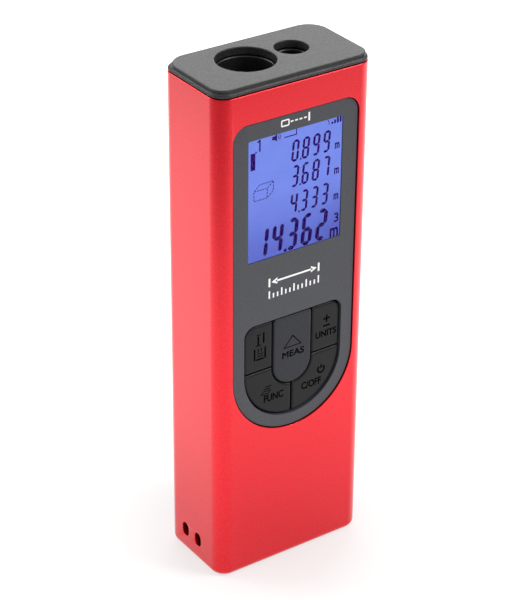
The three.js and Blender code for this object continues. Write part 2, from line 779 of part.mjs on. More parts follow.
function makeChassis() {
  const low = bayBottom - bayEndWall;
  const high = bayTop + bayEndWall;
  const half = chassisHalf;
  const midPlate = block(-half, half, midPlateFront, midPlateBack, low, chassisTop);
  const partsWindow = block(
    bossRadius - boardScrewX, boardScrewX - bossRadius, midPlateFront - over,
    midPlateBack + over, high, chassisTop - chassisBridge);
  const pieces = [
    block(-half, half, front + wall, chassisBack, low, bayBottom),
    block(-half, half, midPlateFront, chassisBack, bayTop, high),
  ];
  for (const end of [-1, 1]) {
    const span = (a, b) => (end < 0 ? [-b, -a] : [a, b]);
    pieces.push(
      block(...span(half - chassisSide, half), chassisFront, chassisBack, low, chassisTop),
      block(...span(bayHalf, bayHalf + bayWall), midPlateFront, chassisBack, low, high),
      block(...span(half - legWidth, half), chassisBack - legDepth, chassisBack, legBottom, bayBottom),
      block(...span(half - legWidth, half), front + wall, midPlateFront, legBottom, bayBottom),
      rodY(earBossRadius, midPlateFront, earFront - rest, end * earScrewX, earScrewZ, 14));
    for (const z of postHeights) {
      pieces.push(block(
        ...span(bayHalf, half), chassisBack - postLength, chassisBack,
        z - postHeight / 2 - slip - bayWall, z + postHeight / 2 + slip + bayWall));
    }
  }
  for (const [, x, z] of boardScrews) {
    pieces.push(rodY(bossRadius, boardBack + rest, midPlateBack, x, z, 12));
  }
  const holes = boardScrews.map(([, x, z]) => rodY(
    screwHoleRadius, boardFront, midPlateBack + over, x, z, 10));
  for (const { x, z, halfX, halfZ, height } of flatParts) {
    holes.push(block(
      x - halfX - slip, x + halfX + slip, boardBack, boardBack + height + rest,
      z - halfZ - slip, z + halfZ + slip));
  }
  for (const end of [-1, 1]) {
    holes.push(rodY(
      screwHoleRadius, earFront - screwLength - over, earFront + over,
      end * earScrewX, earScrewZ, 10));
    for (const z of postHeights) {
      const x = end * postX;
      holes.push(block(
        x - postWidth / 2 - slip, x + postWidth / 2 + slip,
        innerBack - postLength - slip, innerBack + over,
        z - postHeight / 2 - slip, z + postHeight / 2 + slip));
    }
  }
  return trim(
    cut(join(cut(midPlate, partsWindow), ...pieces), ...holes), cavity(legBottom, chassisTop));
}

// ---- Battery door ------------------------------------------------------

const postHeights = [doorBottom + postEnd, doorTop - postEnd];

function makeBatteryDoor() {
  const outline = roundedRect(-doorHalf, doorHalf, doorBottom, doorTop, doorCorner);
  const posts = [-1, 1].flatMap((end) => postHeights.map((z) => block(
    end * postX - postWidth / 2, end * postX + postWidth / 2,
    innerBack - postLength, innerBack + rest, z - postHeight / 2, z + postHeight / 2)));
  const scoop = new THREE.CylinderGeometry(thumbRadius, thumbRadius, 2 * thumbHalf, 48);
  scoop.rotateZ(Math.PI / 2).translate(
    0, back + thumbRadius - thumbDepth, doorTop - thumbInset);
  return cut(join(plate(outline, innerBack, back), ...posts), scoop);
}

// ---- Batteries and contacts --------------------------------------------

// A cell stands on its flat end at local z = 0
function makeCell() {
  return turned([
    [0, 0], [cellRadius - cellBevel, 0], [cellRadius, cellBevel],
    [cellRadius, cellBody - cellBevel], [cellRadius - cellBevel, cellBody],
    [nubRadius, cellBody], [nubRadius, cellBody + nubHeight], [0, cellBody + nubHeight],
  ], 0, 0, 24);
}

class ConeSpring extends THREE.Curve {
  getPoint(t, target = new THREE.Vector3()) {
    const angle = t * springTurns * 2 * Math.PI;
    const radius = springWide + (springNarrow - springWide) * t;
    const z = springWire / 2 + (springHeight - springWire) * t;
    return target.set(radius * Math.cos(angle), radius * Math.sin(angle), z);
  }
}

function makeSpring() {
  const section = new THREE.Shape();
  section.absarc(0, 0, springWire / 2, 0, 2 * Math.PI, false);
  const settings = { steps: 33, curveSegments: 3, extrudePath: new ConeSpring() };
  return new THREE.ExtrudeGeometry(section, settings);
}

function addPower() {
  const plateLow = bayBottom + rest;
  const plateHigh = bayTop - rest - contactThickness;
  const cellLow = plateLow + contactThickness + rest;
  const width = cellX + contactHalf;
  const y0 = cellCentreY - contactHalf;
  const y1 = cellCentreY + contactHalf;
  place('contact_bridge', block(-width, width, y0, y1, 0, contactThickness), tinned,
    0, 0, plateLow);
  place('contact_positive', block(-contactHalf, contactHalf, y0, y1, 0, contactThickness),
    tinned, -cellX, 0, plateHigh);
  place('contact_negative', block(-contactHalf, contactHalf, y0, y1, 0, contactThickness),
    tinned, cellX, 0, plateHigh);
  place('battery_spring_lower', makeSpring(), springSteel, -cellX, cellCentreY, cellLow);
  const upper = place('battery_spring_upper', makeSpring(), springSteel,
    cellX, cellCentreY, plateHigh - rest);
  upper.rotation.x = Math.PI;
  place('battery_left', makeCell(), cellWrap,
    -cellX, cellCentreY, cellLow + springHeight + rest);
  const rightCell = place('battery_right', makeCell(), cellWrap,
    cellX, cellCentreY, plateHigh - springHeight - 2 * rest);
  rightCell.rotation.x = Math.PI;
}

// ---- Optics ------------------------------------------------------------

function makeOpticsBlock() {
  const outer = receiverBore + barrelWall;
  const laserOuter = laserBore + barrelWall;
  const shoulder = seatZ - barrelWall;
  const tube = turned([
    [0, sensorZ], [sensorBore + barrelWall, sensorZ], [outer, shoulder], [outer, barrelTop],
    [0, barrelTop],
  ], receiverX, receiverY, 32);
  const bore = turned([
    [0, sensorZ - over], [sensorBore, sensorZ - over], [sensorBore, sensorZ + sensorHeight],
    [ringInner, seatZ], [receiverBore, seatZ], [receiverBore, barrelTop + over],
    [0, barrelTop + over],
  ], receiverX, receiverY, 32);
  const laserTube = rodZ(laserOuter, laserTubeBottom, barrelTop, laserX, laserY, 24);
  const laserHole = rodZ(
    laserBore, laserTubeBottom - over, barrelTop + over, laserX, laserY, 24);
  const spine = plate(
    roundedRect(-spineHalf, spineHalf, spineBottom, spineTop, spineCorner),
    spineFront, chassisBack, 1);
  const web = block(
    receiverX, laserX, receiverY - webHalf, receiverY + webHalf, laserTubeBottom, spineTop);
  const post = block(
    laserX - webHalf, laserX + webHalf, laserY, spineFront + over, laserTubeBottom, spineTop);
  const ears = [-1, 1].map((end) => {
    const x0 = end * earScrewX - earWidth / 2;
    return block(
      x0, x0 + earWidth, earFront, earFront + earThickness, earBottom, spineBottom + over);
  });
  const screwHoles = [-1, 1].map((end) => rodY(
    screwHoleRadius, earFront - over, chassisBack, end * earScrewX, earScrewZ, 10));
  return trim(
    cut(join(tube, laserTube, spine, web, post, ...ears), bore, laserHole, ...screwHoles),
    cavity(earBottom, barrelTop));
}

// Points of a spherical cap's profile from its rim to its crown
function capProfile(radius, curve, rimZ, sign) {
  const points = [];
  const rimHeight = Math.sqrt(curve ** 2 - radius ** 2);
  for (let step = 0; step <= lensSteps; step += 1) {
    const r = radius * (1 - step / lensSteps);
    points.push([r, rimZ + sign * (Math.sqrt(curve ** 2 - r ** 2) - rimHeight)]);
  }
  return points;
}

function addReceiver() {
  const lens = turned([
    [0, lensBase], [lensRadius, lensBase],
    ...capProfile(lensRadius, lensCurve, lensBase + lensEdge, 1),
  ], receiverX, receiverY, 28);
  place('receiver_lens', lens, opticalGlass);
  const ringLow = lensBase + lensEdge + slip;
  const ringOuter = receiverBore - rest;
  const retainer = turned([
    [ringInner, ringLow], [ringOuter, ringLow], [ringOuter, ringLow + ringHeight],
    [ringInner, ringLow + ringHeight], [ringInner, ringLow],
  ], receiverX, receiverY, 28);
  place('lens_ring', retainer, blackPlastic);
  const boardHigh = sensorZ - slip;
  const board = block(
    receiverX - receiverBoardX, receiverX + receiverBoardX, receiverBoardFront,
    receiverBoardBack, boardHigh - receiverBoardThickness, boardHigh);
  place('receiver_board', board, boardGreen);
  const can = rodZ(
    sensorRadius, boardHigh + rest, boardHigh + rest + sensorHeight, receiverX, receiverY, 24);
  place('photodiode', can, tinned);
  const boardLow = boardHigh - receiverBoardThickness;
  const bendZ = chassisTop + 2 * slip;
  const flex = ribbon([
    [flexY, boardLow - 2 * rest], [flexY, bendZ + flexBend],
    [boardBack + slip, bendZ], [boardBack + slip, boardTop - flexTail],
  ], flexThickness, receiverX, flexHalf);
  place('receiver_flex', flex, flexFilm);
}

function addLaser() {
  const outer = laserBore - rest;
  const inner = outer - laserBarrelWall;
  const barrel = turned([
    [inner, laserBarrelLow], [outer, laserBarrelLow], [outer, laserBarrelHigh],
    [inner, laserBarrelHigh], [inner, laserBarrelLow],
  ], laserX, laserY, 20);
  place('laser_barrel', barrel, brass);
  const radius = inner - rest;
  const rim = collimatorZ + collimatorEdge / 2;
  const lower = capProfile(radius, collimatorCurve, collimatorZ - collimatorEdge / 2, -1);
  const lens = turned(
    [...lower.reverse(), ...capProfile(radius, collimatorCurve, rim, 1)], laserX, laserY, 16);
  place('collimator_lens', lens, opticalGlass);
  const flangeHigh = laserBarrelLow - rest;
  const flangeLow = flangeHigh - diodeFlange;
  const pins = [0, 1, 2].map((pin) => {
    const angle = (pin * 2 * Math.PI) / 3;
    return rodZ(
      pinRadius, flangeLow - pinLength, flangeLow + rest,
      laserX + pinCircle * Math.cos(angle), laserY + pinCircle * Math.sin(angle), 6);
  });
  place('laser_diode', join(
    rodZ(outer - rest, flangeLow, flangeHigh, laserX, laserY, 16),
    rodZ(diodeCanRadius, flangeHigh - rest, flangeHigh + diodeCan, laserX, laserY, 14),
    ...pins), brass);
  const shelfZ = flangeLow - pinLength - rest - flexThickness;
  const bendZ = chassisTop + 2 * slip;
  const flex = ribbon([
    [laserY + flexHalf, shelfZ], [flexY, shelfZ], [flexY, bendZ + flexBend],
    [boardBack + slip, bendZ], [boardBack + slip, boardTop - flexTail],
  ], flexThickness, laserX, flexHalf);
  place('laser_flex', flex, flexFilm);
}

// ---- Assembly ----------------------------------------------------------

place('housing', makeHousing(), anodisedRed);
place('top_cap', makeTopCap(), capPlastic);
place('front_panel', makeFrontPanel(), panelPlastic);
place('display_window', makeDisplayWindow(), clearAcrylic);
place('front_carrier', makeFrontCarrier(), blackPlastic);
addDisplayStack();
addKeys();
place('keypad_mat', makeKeypadMat(), keyRubber);
addSnapDomes();
place('main_board', makeMainBoard(), boardGreen);
addBoardParts();
addScrews();
place('chassis', makeChassis(), blackPlastic);
place('battery_door', makeBatteryDoor(), capPlastic);
addPower();
place('optics_block', makeOpticsBlock(), blackPlastic);
addReceiver();
addLaser();

export default instrument;
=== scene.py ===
import bmesh
import bpy
import numpy as np
from mathutils import Matrix, Vector
from mathutils.geometry import delaunay_2d_cdt


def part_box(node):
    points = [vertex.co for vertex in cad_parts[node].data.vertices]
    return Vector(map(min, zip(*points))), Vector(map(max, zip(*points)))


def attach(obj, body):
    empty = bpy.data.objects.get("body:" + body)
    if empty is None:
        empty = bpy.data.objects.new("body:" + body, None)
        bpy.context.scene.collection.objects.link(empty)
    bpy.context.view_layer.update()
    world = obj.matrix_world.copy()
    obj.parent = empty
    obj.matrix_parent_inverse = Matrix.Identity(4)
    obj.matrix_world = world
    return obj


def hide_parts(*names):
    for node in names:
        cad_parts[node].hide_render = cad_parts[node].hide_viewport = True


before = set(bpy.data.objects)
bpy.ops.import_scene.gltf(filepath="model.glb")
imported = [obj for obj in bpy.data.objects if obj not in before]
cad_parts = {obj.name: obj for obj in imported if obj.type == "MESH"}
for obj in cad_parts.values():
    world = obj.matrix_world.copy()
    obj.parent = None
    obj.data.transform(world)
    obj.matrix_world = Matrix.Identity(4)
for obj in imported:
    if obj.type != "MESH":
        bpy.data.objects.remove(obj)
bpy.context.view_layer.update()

scene = bpy.context.scene
mm = 0.001


def extent(node):
    low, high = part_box(node)
    return np.array(low) / mm, np.array(high) / mm


canLow, canHigh = extent("housing")
panelLow, panelHigh = extent("front_panel")
windowLow, windowHigh = extent("display_window")
lcdLow, lcdHigh = extent("lcd_glass")
measureLow, measureHigh = extent("key_measure")
unitsLow, unitsHigh = extent("key_units")
clearLow, clearHigh = extent("key_clear_off")
doorLow, doorHigh = extent("battery_door")
lensLow, lensHigh = extent("receiver_lens")
barrelLow, barrelHigh = extent("laser_barrel")
ringLow, ringHigh = extent("lens_ring")
opticsLow, opticsHigh = extent("optics_block")

archZ = panelLow[2] + panelHigh[0]             # height of the panel's half circle
receiverAt = (lensLow[:2] + lensHigh[:2]) / 2
laserAt = (barrelLow[:2] + barrelHigh[:2]) / 2

# ---- outlines: closed loops of (across, up) points, anticlockwise ----


def arcPoints(x, z, radius, start, end, count=25):
    # circle: centre + radius times (cosine, sine) of an angle in degrees
    angle = np.radians(np.linspace(start, end, count))
    return np.stack([x + radius * np.cos(angle), z + radius * np.sin(angle)], 1)


def roundedRect(x0, x1, z0, z1, radius, count=13, upper=None):
    # four quarter circles and the straight sides between them; the upper two circles may have
    # a radius of their own
    upper = radius if upper is None else upper
    return np.concatenate([
        arcPoints(x1 - radius, z0 + radius, radius, -90, 0, count),
        arcPoints(x1 - upper, z1 - upper, upper, 0, 90, count),
        arcPoints(x0 + upper, z1 - upper, upper, 90, 180, count),
        arcPoints(x0 + radius, z0 + radius, radius, 180, 270, count)])


def shieldOutline(half, top, corner):
    # half circle below, upright sides, and a rounded corner at each end of the top
    return np.concatenate([
        arcPoints(0, archZ, half, 180, 360, 97),
        arcPoints(half - corner, top - corner, corner, 0, 90),
        arcPoints(corner - half, top - corner, corner, 90, 180)])


def softened(points, reach, spacing=0.04, turn=5.0):
    # walks the outline in even steps, averages the walk twice over a window as wide as reach, so
    # that its corners turn round, and keeps a point each time the heading has turned enough
    closed = np.vstack([points, points[:1]])
    along = np.concatenate([[0], np.cumsum(np.linalg.norm(np.diff(closed, axis=0), axis=1))])
    count = int(along[-1] / spacing)
    even = np.linspace(0, along[-1], count, endpoint=False)
    walk = np.stack([np.interp(even, along, closed[:, k]) for k in (0, 1)], 1)
    half = int(reach / spacing / 2)
    window = np.zeros(count)
    window[np.arange(-half, half + 1)] = 1 / (2 * half + 1)
    blur = np.fft.fft(window)[:, None] ** 2
    walk = np.fft.ifft(np.fft.fft(walk, axis=0) * blur, axis=0).real
    ahead = np.roll(walk, -1, axis=0) - walk
    heading = np.arctan2(ahead[:, 1], ahead[:, 0])
    bend = np.abs((heading - np.roll(heading, 1) + np.pi) % (2 * np.pi) - np.pi)
    straight = bend < 1e-5
    stage = np.floor(np.cumsum(bend) / np.radians(turn))
    kept = (stage != np.roll(stage, 1)) | (straight != np.roll(straight, 1))
    return walk[kept]


def area(loop):
    x, z = loop.T
    return (x * np.roll(z, -1) - np.roll(x, -1) * z).sum() / 2


def offsetLoop(loop, distance):
    # moves each point along the mean of its two edges' outward normals, a little more at a corner
    edge = np.roll(loop, -1, axis=0) - loop
    normal = np.stack([edge[:, 1], -edge[:, 0]], 1)
    normal /= np.linalg.norm(normal, axis=1, keepdims=True)
    mean = normal + np.roll(normal, 1, axis=0)
    mean /= np.linalg.norm(mean, axis=1, keepdims=True)
    reach = distance / np.maximum((mean * normal).sum(1), 0.5)
    return loop + mean * reach[:, None]


def holds(loop, points):
    # even-odd rule: inside where a ray to the right crosses the loop an odd number of times
    a, b = loop, np.roll(loop, -1, axis=0)
    x, z = points[:, :1], points[:, 1:]
    crossing = (a[:, 1] > z) != (b[:, 1] > z)
    rise = np.where(a[:, 1] == b[:, 1], 1.0, b[:, 1] - a[:, 1])
    at = a[:, 0] + (z - a[:, 1]) / rise * (b[:, 0] - a[:, 0])
    return (crossing & (x < at)).sum(axis=1) % 2 == 1


def oriented(loops):
    # outer loops anticlockwise, and the loops of the holes in them clockwise
    found = []
    for loop in loops:
        depth = sum(holds(other, loop[:1])[0] for other in loops if other is not loop)
        agrees = (area(loop) > 0) == (depth % 2 == 0)
        found.append(loop if agrees else loop[::-1])
    return found


def stroke(points, width):
    # a pen stroke: the chain of points let out by half the width to either side
    points = np.array(points, float)
    step = np.diff(points, axis=0)
    normal = np.stack([step[:, 1], -step[:, 0]], 1)
    normal /= np.linalg.norm(normal, axis=1, keepdims=True)
    ends = np.vstack([normal[:1], normal, normal[-1:]])
    mean = ends[:-1] + ends[1:]
    mean /= np.linalg.norm(mean, axis=1, keepdims=True)
    reach = width / 2 / np.maximum((mean * ends[1:]).sum(1), 0.35)
    aside = mean * reach[:, None]
    return np.vstack([points + aside, (points - aside)[::-1]])


def framed(loop, width):
    # an outline drawn with a pen: the loop let out and in by half the width
    return [offsetLoop(loop, width / 2), offsetLoop(loop, -width / 2)[::-1]]


def lettering(words, x0, x1, z0, z1, bold=0.0):
    # loops of the font's own cubic curves, B(t) = sum of the four control points by their
    # Bernstein weights, fitted to a box and let out by the weight given
    curve = bpy.data.curves.new("lettering", "FONT")
    curve.body = words
    holder = bpy.data.objects.new("lettering", curve)
    scene.collection.objects.link(holder)
    bpy.context.view_layer.update()
    drawn = holder.to_curve(bpy.context.evaluated_depsgraph_get())
    t = np.linspace(0, 1, 5, endpoint=False)[:, None]
    weights = [(1 - t) ** 3, 3 * t * (1 - t) ** 2, 3 * t ** 2 * (1 - t), t ** 3]
    loops = []
    for spline in drawn.splines:
        knots = []
        for field in ("co", "handle_right", "handle_left"):
            values = np.empty(3 * len(spline.bezier_points))
            spline.bezier_points.foreach_get(field, values)
            knots.append(values.reshape(-1, 1, 3)[:, :, :2])
        here, leaving, arriving = knots
        control = [here, leaving, np.roll(arriving, -1, axis=0), np.roll(here, -1, axis=0)]
        loop = sum(weight * point for weight, point in zip(weights, control)).reshape(-1, 2)
        apart = np.linalg.norm(loop - np.roll(loop, 1, axis=0), axis=1) > 1e-4
        loops.append(loop[apart])
    holder.to_curve_clear()
    bpy.data.objects.remove(holder)
    low = np.min([loop.min(axis=0) for loop in loops], axis=0)
    high = np.max([loop.max(axis=0) for loop in loops], axis=0)
    scale = np.array([x1 - x0, z1 - z0]) / (high - low)
    placed = oriented([(loop - low) * scale + (x0, z0) for loop in loops])
    return [offsetLoop(loop, bold) for loop in placed]


# ---- patches: (points, faces, material slot), joined into pieces ----


def flatFace(origin, across, up):
    # place(flat, depth): origin + u across + v up, less the depth along the outward normal
    origin, across, up = (np.array(v, float) for v in (origin, across, up))
    normal = np.cross(across, up)

    def place(flat, depth=0.0):
        return origin + flat[:, :1] * across + flat[:, 1:] * up - depth * normal
    return place


def frontFace(y):
    return flatFace((0, y, 0), (1, 0, 0), (0, 0, 1))


def backFace(y):
    return flatFace((0, y, 0), (-1, 0, 0), (0, 0, 1))


def topFace(z):
    return flatFace((0, 0, z), (1, 0, 0), (0, 1, 0))


def gridFaces(rows, columns, closed=True):
    # quads between neighbouring rows; the last column meets the first where the rows are closed
    row = np.arange(rows - 1)[:, None] * columns
    column = np.arange(columns if closed else columns - 1)[None, :]
    following = (column + 1) % columns
    corners = [row + column, row + following, row + columns + following, row + columns + column]
    return np.stack(corners, -1).reshape(-1, 4)


def triangulate(loops, ties=()):
    # constrained Delaunay triangles over closed loops, and which loops hold each one's middle
    points = np.concatenate(loops)
    starts = np.cumsum([0] + [len(loop) for loop in loops])
    rings = [np.arange(len(loop)) + start for start, loop in zip(starts, loops)]
    edges = [pair for ring in rings for pair in np.stack([ring, np.roll(ring, -1)], 1).tolist()]
    found = delaunay_2d_cdt(points.tolist(), edges + list(ties), [], 0, 1e-6)
    flat = np.array([tuple(point) for point in found[0]])
    triangles = np.array([face for face in found[2] if len(face) == 3])
    a, b, c = (flat[triangles[:, k]] for k in range(3))
    turn = np.cross(b - a, c - a)
    triangles[turn < 0] = triangles[turn < 0][:, ::-1]
    middle = (a + b + c) / 3
    return flat, triangles, np.array([holds(loop, middle) for loop in loops])


def quarter(inset, depth, steps=6):
    # a quarter ellipse from the face (let in, no depth) round to the side (no inset, full depth)
    angle = np.linspace(0, np.pi / 2, steps)
    return list(zip(inset * (1 - np.sin(angle)), depth * (1 - np.cos(angle))))


def band(place, loop, profile, slot=0, hole=False):
    # carries an edge profile of (inset, depth) pairs round a loop
    sign = 1 if hole else -1
    points = np.concatenate([place(offsetLoop(loop, sign * inset), depth)
                             for inset, depth in profile])
    faces = gridFaces(len(profile), len(loop))
    return points, faces if hole else faces[:, ::-1], slot


def sheet(place, outer, holes=(), marks=(), depth=0.0, backward=False, slot=0):
    # a flat face with holes; a mark's loops take another slot, and lie deeper if it is sunk
    loops = [outer, *holes, *(loop for mark in marks for loop in mark["loops"])]
    flat, triangles, inside = triangulate(loops)
    solid = inside[0] & ~inside[1:1 + len(holes)].any(axis=0)
    patches = []
    start = 1 + len(holes)
    for mark in marks:
        stop = start + len(mark["loops"])
        covered = solid & (inside[start:stop].sum(axis=0) % 2 == 1)
        start = stop
        solid &= ~covered
        sink = mark.get("sink", 0.0)
        patches.append((place(flat, depth + sink), triangles[covered], mark["slot"]))
        if sink:
            patches += [band(place, loop, [(0, depth), (0, depth + sink)], mark["slot"], True)
                        for loop in mark["loops"]]
    order = slice(None, None, -1) if backward else slice(None)
    patches.append((place(flat, depth), triangles[solid][:, order], slot))
    return patches


def slab(place, outer, thickness, edge, holes=(), marks=(), through=()):
    # a plate with its outer edge and the edges of its holes rounded; a hole is
    # (loop, edge, wall depth), and through holds the loops that open in the back
    patches = sheet(place, offsetLoop(outer, -edge[0]),
                    [offsetLoop(loop, lip[0]) for loop, lip, wall in holes], marks)
    patches.append(band(place, outer, [*quarter(*edge), (0, thickness)]))
    patches += [band(place, loop, [*quarter(*lip), (0, wall)], 0, True)
                for loop, lip, wall in holes]
    return patches + sheet(place, outer, through, depth=thickness, backward=True)


def turned(profile, at, base=0.0, sides=72, axis="z"):
    # a lathe: (radius, height) pairs carried round an axis; a radius of 0 closes on it
    profile = np.array(profile, float)
    angle = np.linspace(0, 2 * np.pi, sides, endpoint=False)
    radius, height = profile[:, :1], profile[:, 1:] + base
    ring = np.stack([radius * np.cos(angle), radius * np.sin(angle),
                     np.broadcast_to(height, (len(profile), sides))], -1).reshape(-1, 3)
    faces = gridFaces(len(profile), sides)
    if axis == "y":
        return ring[:, [0, 2, 1]] + (at[0], 0, at[1]), faces[:, ::-1], 0
    return ring + (at[0], at[1], 0), faces, 0


def tube(path, radius, sides=12):
    # a circle carried along a path, square to it; side = tangent x z, up = side x tangent
    tangent = np.gradient(path, axis=0)
    tangent /= np.linalg.norm(tangent, axis=1, keepdims=True)
    side = np.cross(tangent, (0, 0, 1.0))
    side /= np.linalg.norm(side, axis=1, keepdims=True)
    up = np.cross(side, tangent)
    angle = np.linspace(0, 2 * np.pi, sides, endpoint=False)[None, :, None]
    circle = np.cos(angle) * side[:, None] + np.sin(angle) * up[:, None]
    rings = path[:, None] + radius * circle
    ends = [np.repeat(path[:1, None], sides, 1), rings, np.repeat(path[-1:, None], sides, 1)]
    return np.concatenate(ends).reshape(-1, 3), gridFaces(len(path) + 2, sides), 0


weld = 0.0005    # points nearer to each other than this, in mm, become one


def makePiece(name, patches, materials, node, body="root", sharp=32):
    # joins patches, welds the seams, and marks what is sharper than the angle given
    points = np.concatenate([patch[0] for patch in patches]) * mm
    starts = np.cumsum([0] + [len(patch[0]) for patch in patches])
    faces = [face for patch, start in zip(patches, starts) for face in (patch[1] + start).tolist()]
    slots = np.concatenate([np.full(len(patch[1]), patch[2]) for patch in patches])
    mesh = bpy.data.meshes.new(name)
    mesh.from_pydata(points.tolist(), [], faces)
    mesh.polygons.foreach_set("material_index", slots.astype(np.int32))
    shape = bmesh.new()
    shape.from_mesh(mesh)
    bmesh.ops.remove_doubles(shape, verts=shape.verts, dist=weld * mm)
    loose = [vertex for vertex in shape.verts if not vertex.link_faces]
    bmesh.ops.delete(shape, geom=loose, context="VERTS")
    shape.to_mesh(mesh)
    shape.free()
    for material in materials:
        mesh.materials.append(material)
    mesh.polygons.foreach_set("use_smooth", np.ones(len(mesh.polygons), bool))
    mesh.set_sharp_from_angle(angle=np.radians(sharp))
    piece = bpy.data.objects.new(name, mesh)
    scene.collection.objects.link(piece)
    even = piece.modifiers.new("even shading", "WEIGHTED_NORMAL")
    even.keep_sharp = True
    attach(piece, body)
    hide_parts(node)


# ---- materials ----


def linear(colour):
    # sRGB hex to linear: c / 12.92 near black, else ((c + 0.055) / 1.055) to the power 2.4
    srgb = np.array([int(colour[k:k + 2], 16) for k in (1, 3, 5)]) / 255
    rgb = np.where(srgb <= 0.04045, srgb / 12.92, ((srgb + 0.055) / 1.055) ** 2.4)
    return (*rgb.tolist(), 1.0)


def addNode(tree, kind, inputs=None, **settings):
    # one node with its settings; an input is a value, or another node's output to link
    node = tree.nodes.new("ShaderNode" + kind)
    for name, value in settings.items():
        setattr(node, name, value)
    for socket, value in (inputs or {}).items():
        if isinstance(value, bpy.types.NodeSocket):
            tree.links.new(value, node.inputs[socket])
        else:
            node.inputs[socket].default_value = value
    return node


def newMaterial(name, surface):
    # a Principled surface with its constants, and the piece's own coordinates in metres
    material = bpy.data.materials.new(name)
    material.use_nodes = True
    tree = material.node_tree
    shader = tree.nodes["Principled BSDF"]
    for socket, value in surface.items():
        shader.inputs[socket].default_value = value
    own = addNode(tree, "TexCoord").outputs["Object"]
    return material, tree, shader, own


def mottled(tree, own, size, low=0.0, high=1.0, detail=2.0, stretch=(1, 1, 1)):
    # noise with features of a size in mm, spread from low to high
    scaled = addNode(tree, "Mapping", {"Vector": own, "Scale": stretch})
    noise = addNode(tree, "TexNoise", {"Vector": scaled.outputs["Vector"],
                                       "Scale": 1 / (size * mm), "Detail": detail})
    return addNode(tree, "MapRange", {"Value": noise.outputs["Fac"], "From Min": 0.3,
                                      "From Max": 0.7, "To Min": low,
                                      "To Max": high}).outputs["Result"]


def blended(tree, own, size, dark, light, detail=3.0, stretch=(1, 1, 1)):
    # the same noise, between two colours
    noise = mottled(tree, own, size, detail=detail, stretch=stretch)
    return addNode(tree, "MixRGB", {"Fac": noise, "Color1": linear(dark),
                                    "Color2": linear(light)}).outputs["Color"]


def finished(tree, shader, colour, rough=None, height=None, depth=0.0):
    # links a colour and, where given, a roughness and a grain with a real depth in mm
    tree.links.new(colour, shader.inputs["Base Color"])
    if rough:
        tree.links.new(rough, shader.inputs["Roughness"])
    if height:
        bump = addNode(tree, "Bump", {"Height": height, "Strength": 1.0, "Distance": depth * mm})
        tree.links.new(bump.outputs["Normal"], shader.inputs["Normal"])


def anodisedAluminium():
    # blasted, dyed and sealed: satin red metal under a clear oxide, with a fine sparkle of grain
    look = dict(red="#e91026", deep="#cf091a", grain=0.35, fleck=0.2, depth=0.007)
    material, tree, shader, own = newMaterial("anodisedAluminium", {
        "Metallic": 1.0, "Roughness": 0.36, "Coat Weight": 0.66, "Coat Roughness": 0.2,
        "Coat IOR": 1.5})
    finished(tree, shader, blended(tree, own, look["grain"], look["deep"], look["red"]),
             mottled(tree, own, look["grain"], 0.3, 0.42), mottled(tree, own, look["fleck"]),
             look["depth"])
    return material


def mouldedPlastic(name, light, dark, grain, depth, rough, shine=0.5):
    # moulded in a spark-eroded tool: an even fine grain, matt in the hollows
    material, tree, shader, own = newMaterial(name, {
        "IOR": 1.53, "Specular IOR Level": shine, "Roughness": rough})
    finished(tree, shader, blended(tree, own, grain * 1.5, dark, light),
             mottled(tree, own, grain, rough - 0.06, rough + 0.08), mottled(tree, own, grain),
             depth)
    return material


def siliconeRubber(name, light, dark):
    # compression-moulded silicone: soft and matt, a trace of velvet where it turns away
    material, tree, shader, own = newMaterial(name, {
        "IOR": 1.42, "Roughness": 0.38, "Specular IOR Level": 0.27, "Sheen Weight": 0.03,
        "Sheen Roughness": 0.5})
    grain, depth = 0.25, 0.008
    finished(tree, shader, blended(tree, own, 0.3, dark, light),
             mottled(tree, own, grain, 0.32, 0.44), mottled(tree, own, grain), depth)
    return material


def printedInk(name, colour, shade, rough, shine):
    # screen-printed ink: an even film, slightly thin where the mesh of the screen lay
    material, tree, shader, own = newMaterial(name, {
        "IOR": 1.5, "Roughness": rough, "Specular IOR Level": shine})
    finished(tree, shader, blended(tree, own, 0.18, shade, colour, 1.0))
    return material


def litDisplay(name, top, low, lowRight):
    # a display lit from its edge: even above, fading toward the foot and most at its right end
    material, tree, shader, own = newMaterial(name, {
        "Base Color": linear("#050508"), "Roughness": 0.4, "Specular IOR Level": 0.0,
        "Emission Strength": 1.0})
    parts = addNode(tree, "SeparateXYZ", {"Vector": own})
    fade = addNode(tree, "MapRange", {"Value": parts.outputs["Z"], "From Min": 76.0 * mm,
                                      "From Max": 93.0 * mm}, interpolation_type="SMOOTHSTEP")
    across = addNode(tree, "MapRange", {"Value": parts.outputs["X"], "From Min": 4.0 * mm,
                                        "From Max": 13.0 * mm})
    foot = addNode(tree, "MixRGB", {"Fac": across.outputs["Result"], "Color1": linear(low),
                                    "Color2": linear(lowRight)})
    blend = addNode(tree, "MixRGB", {"Fac": fade.outputs["Result"],
                                     "Color1": foot.outputs["Color"], "Color2": linear(top)})
    cells = mottled(tree, own, 0.35, 0.97, 1.03, 1.0)
    cloud = mottled(tree, own, 4.0, 0.97, 1.04, 1.0)
    both = addNode(tree, "Math", {0: cells, 1: cloud}, operation="MULTIPLY")
    tint = addNode(tree, "MixRGB", {"Fac": 1.0, "Color1": blend.outputs["Color"],
                                    "Color2": both.outputs[0]}, blend_type="MULTIPLY")
    tree.links.new(tint.outputs["Color"], shader.inputs["Emission Color"])
    return material


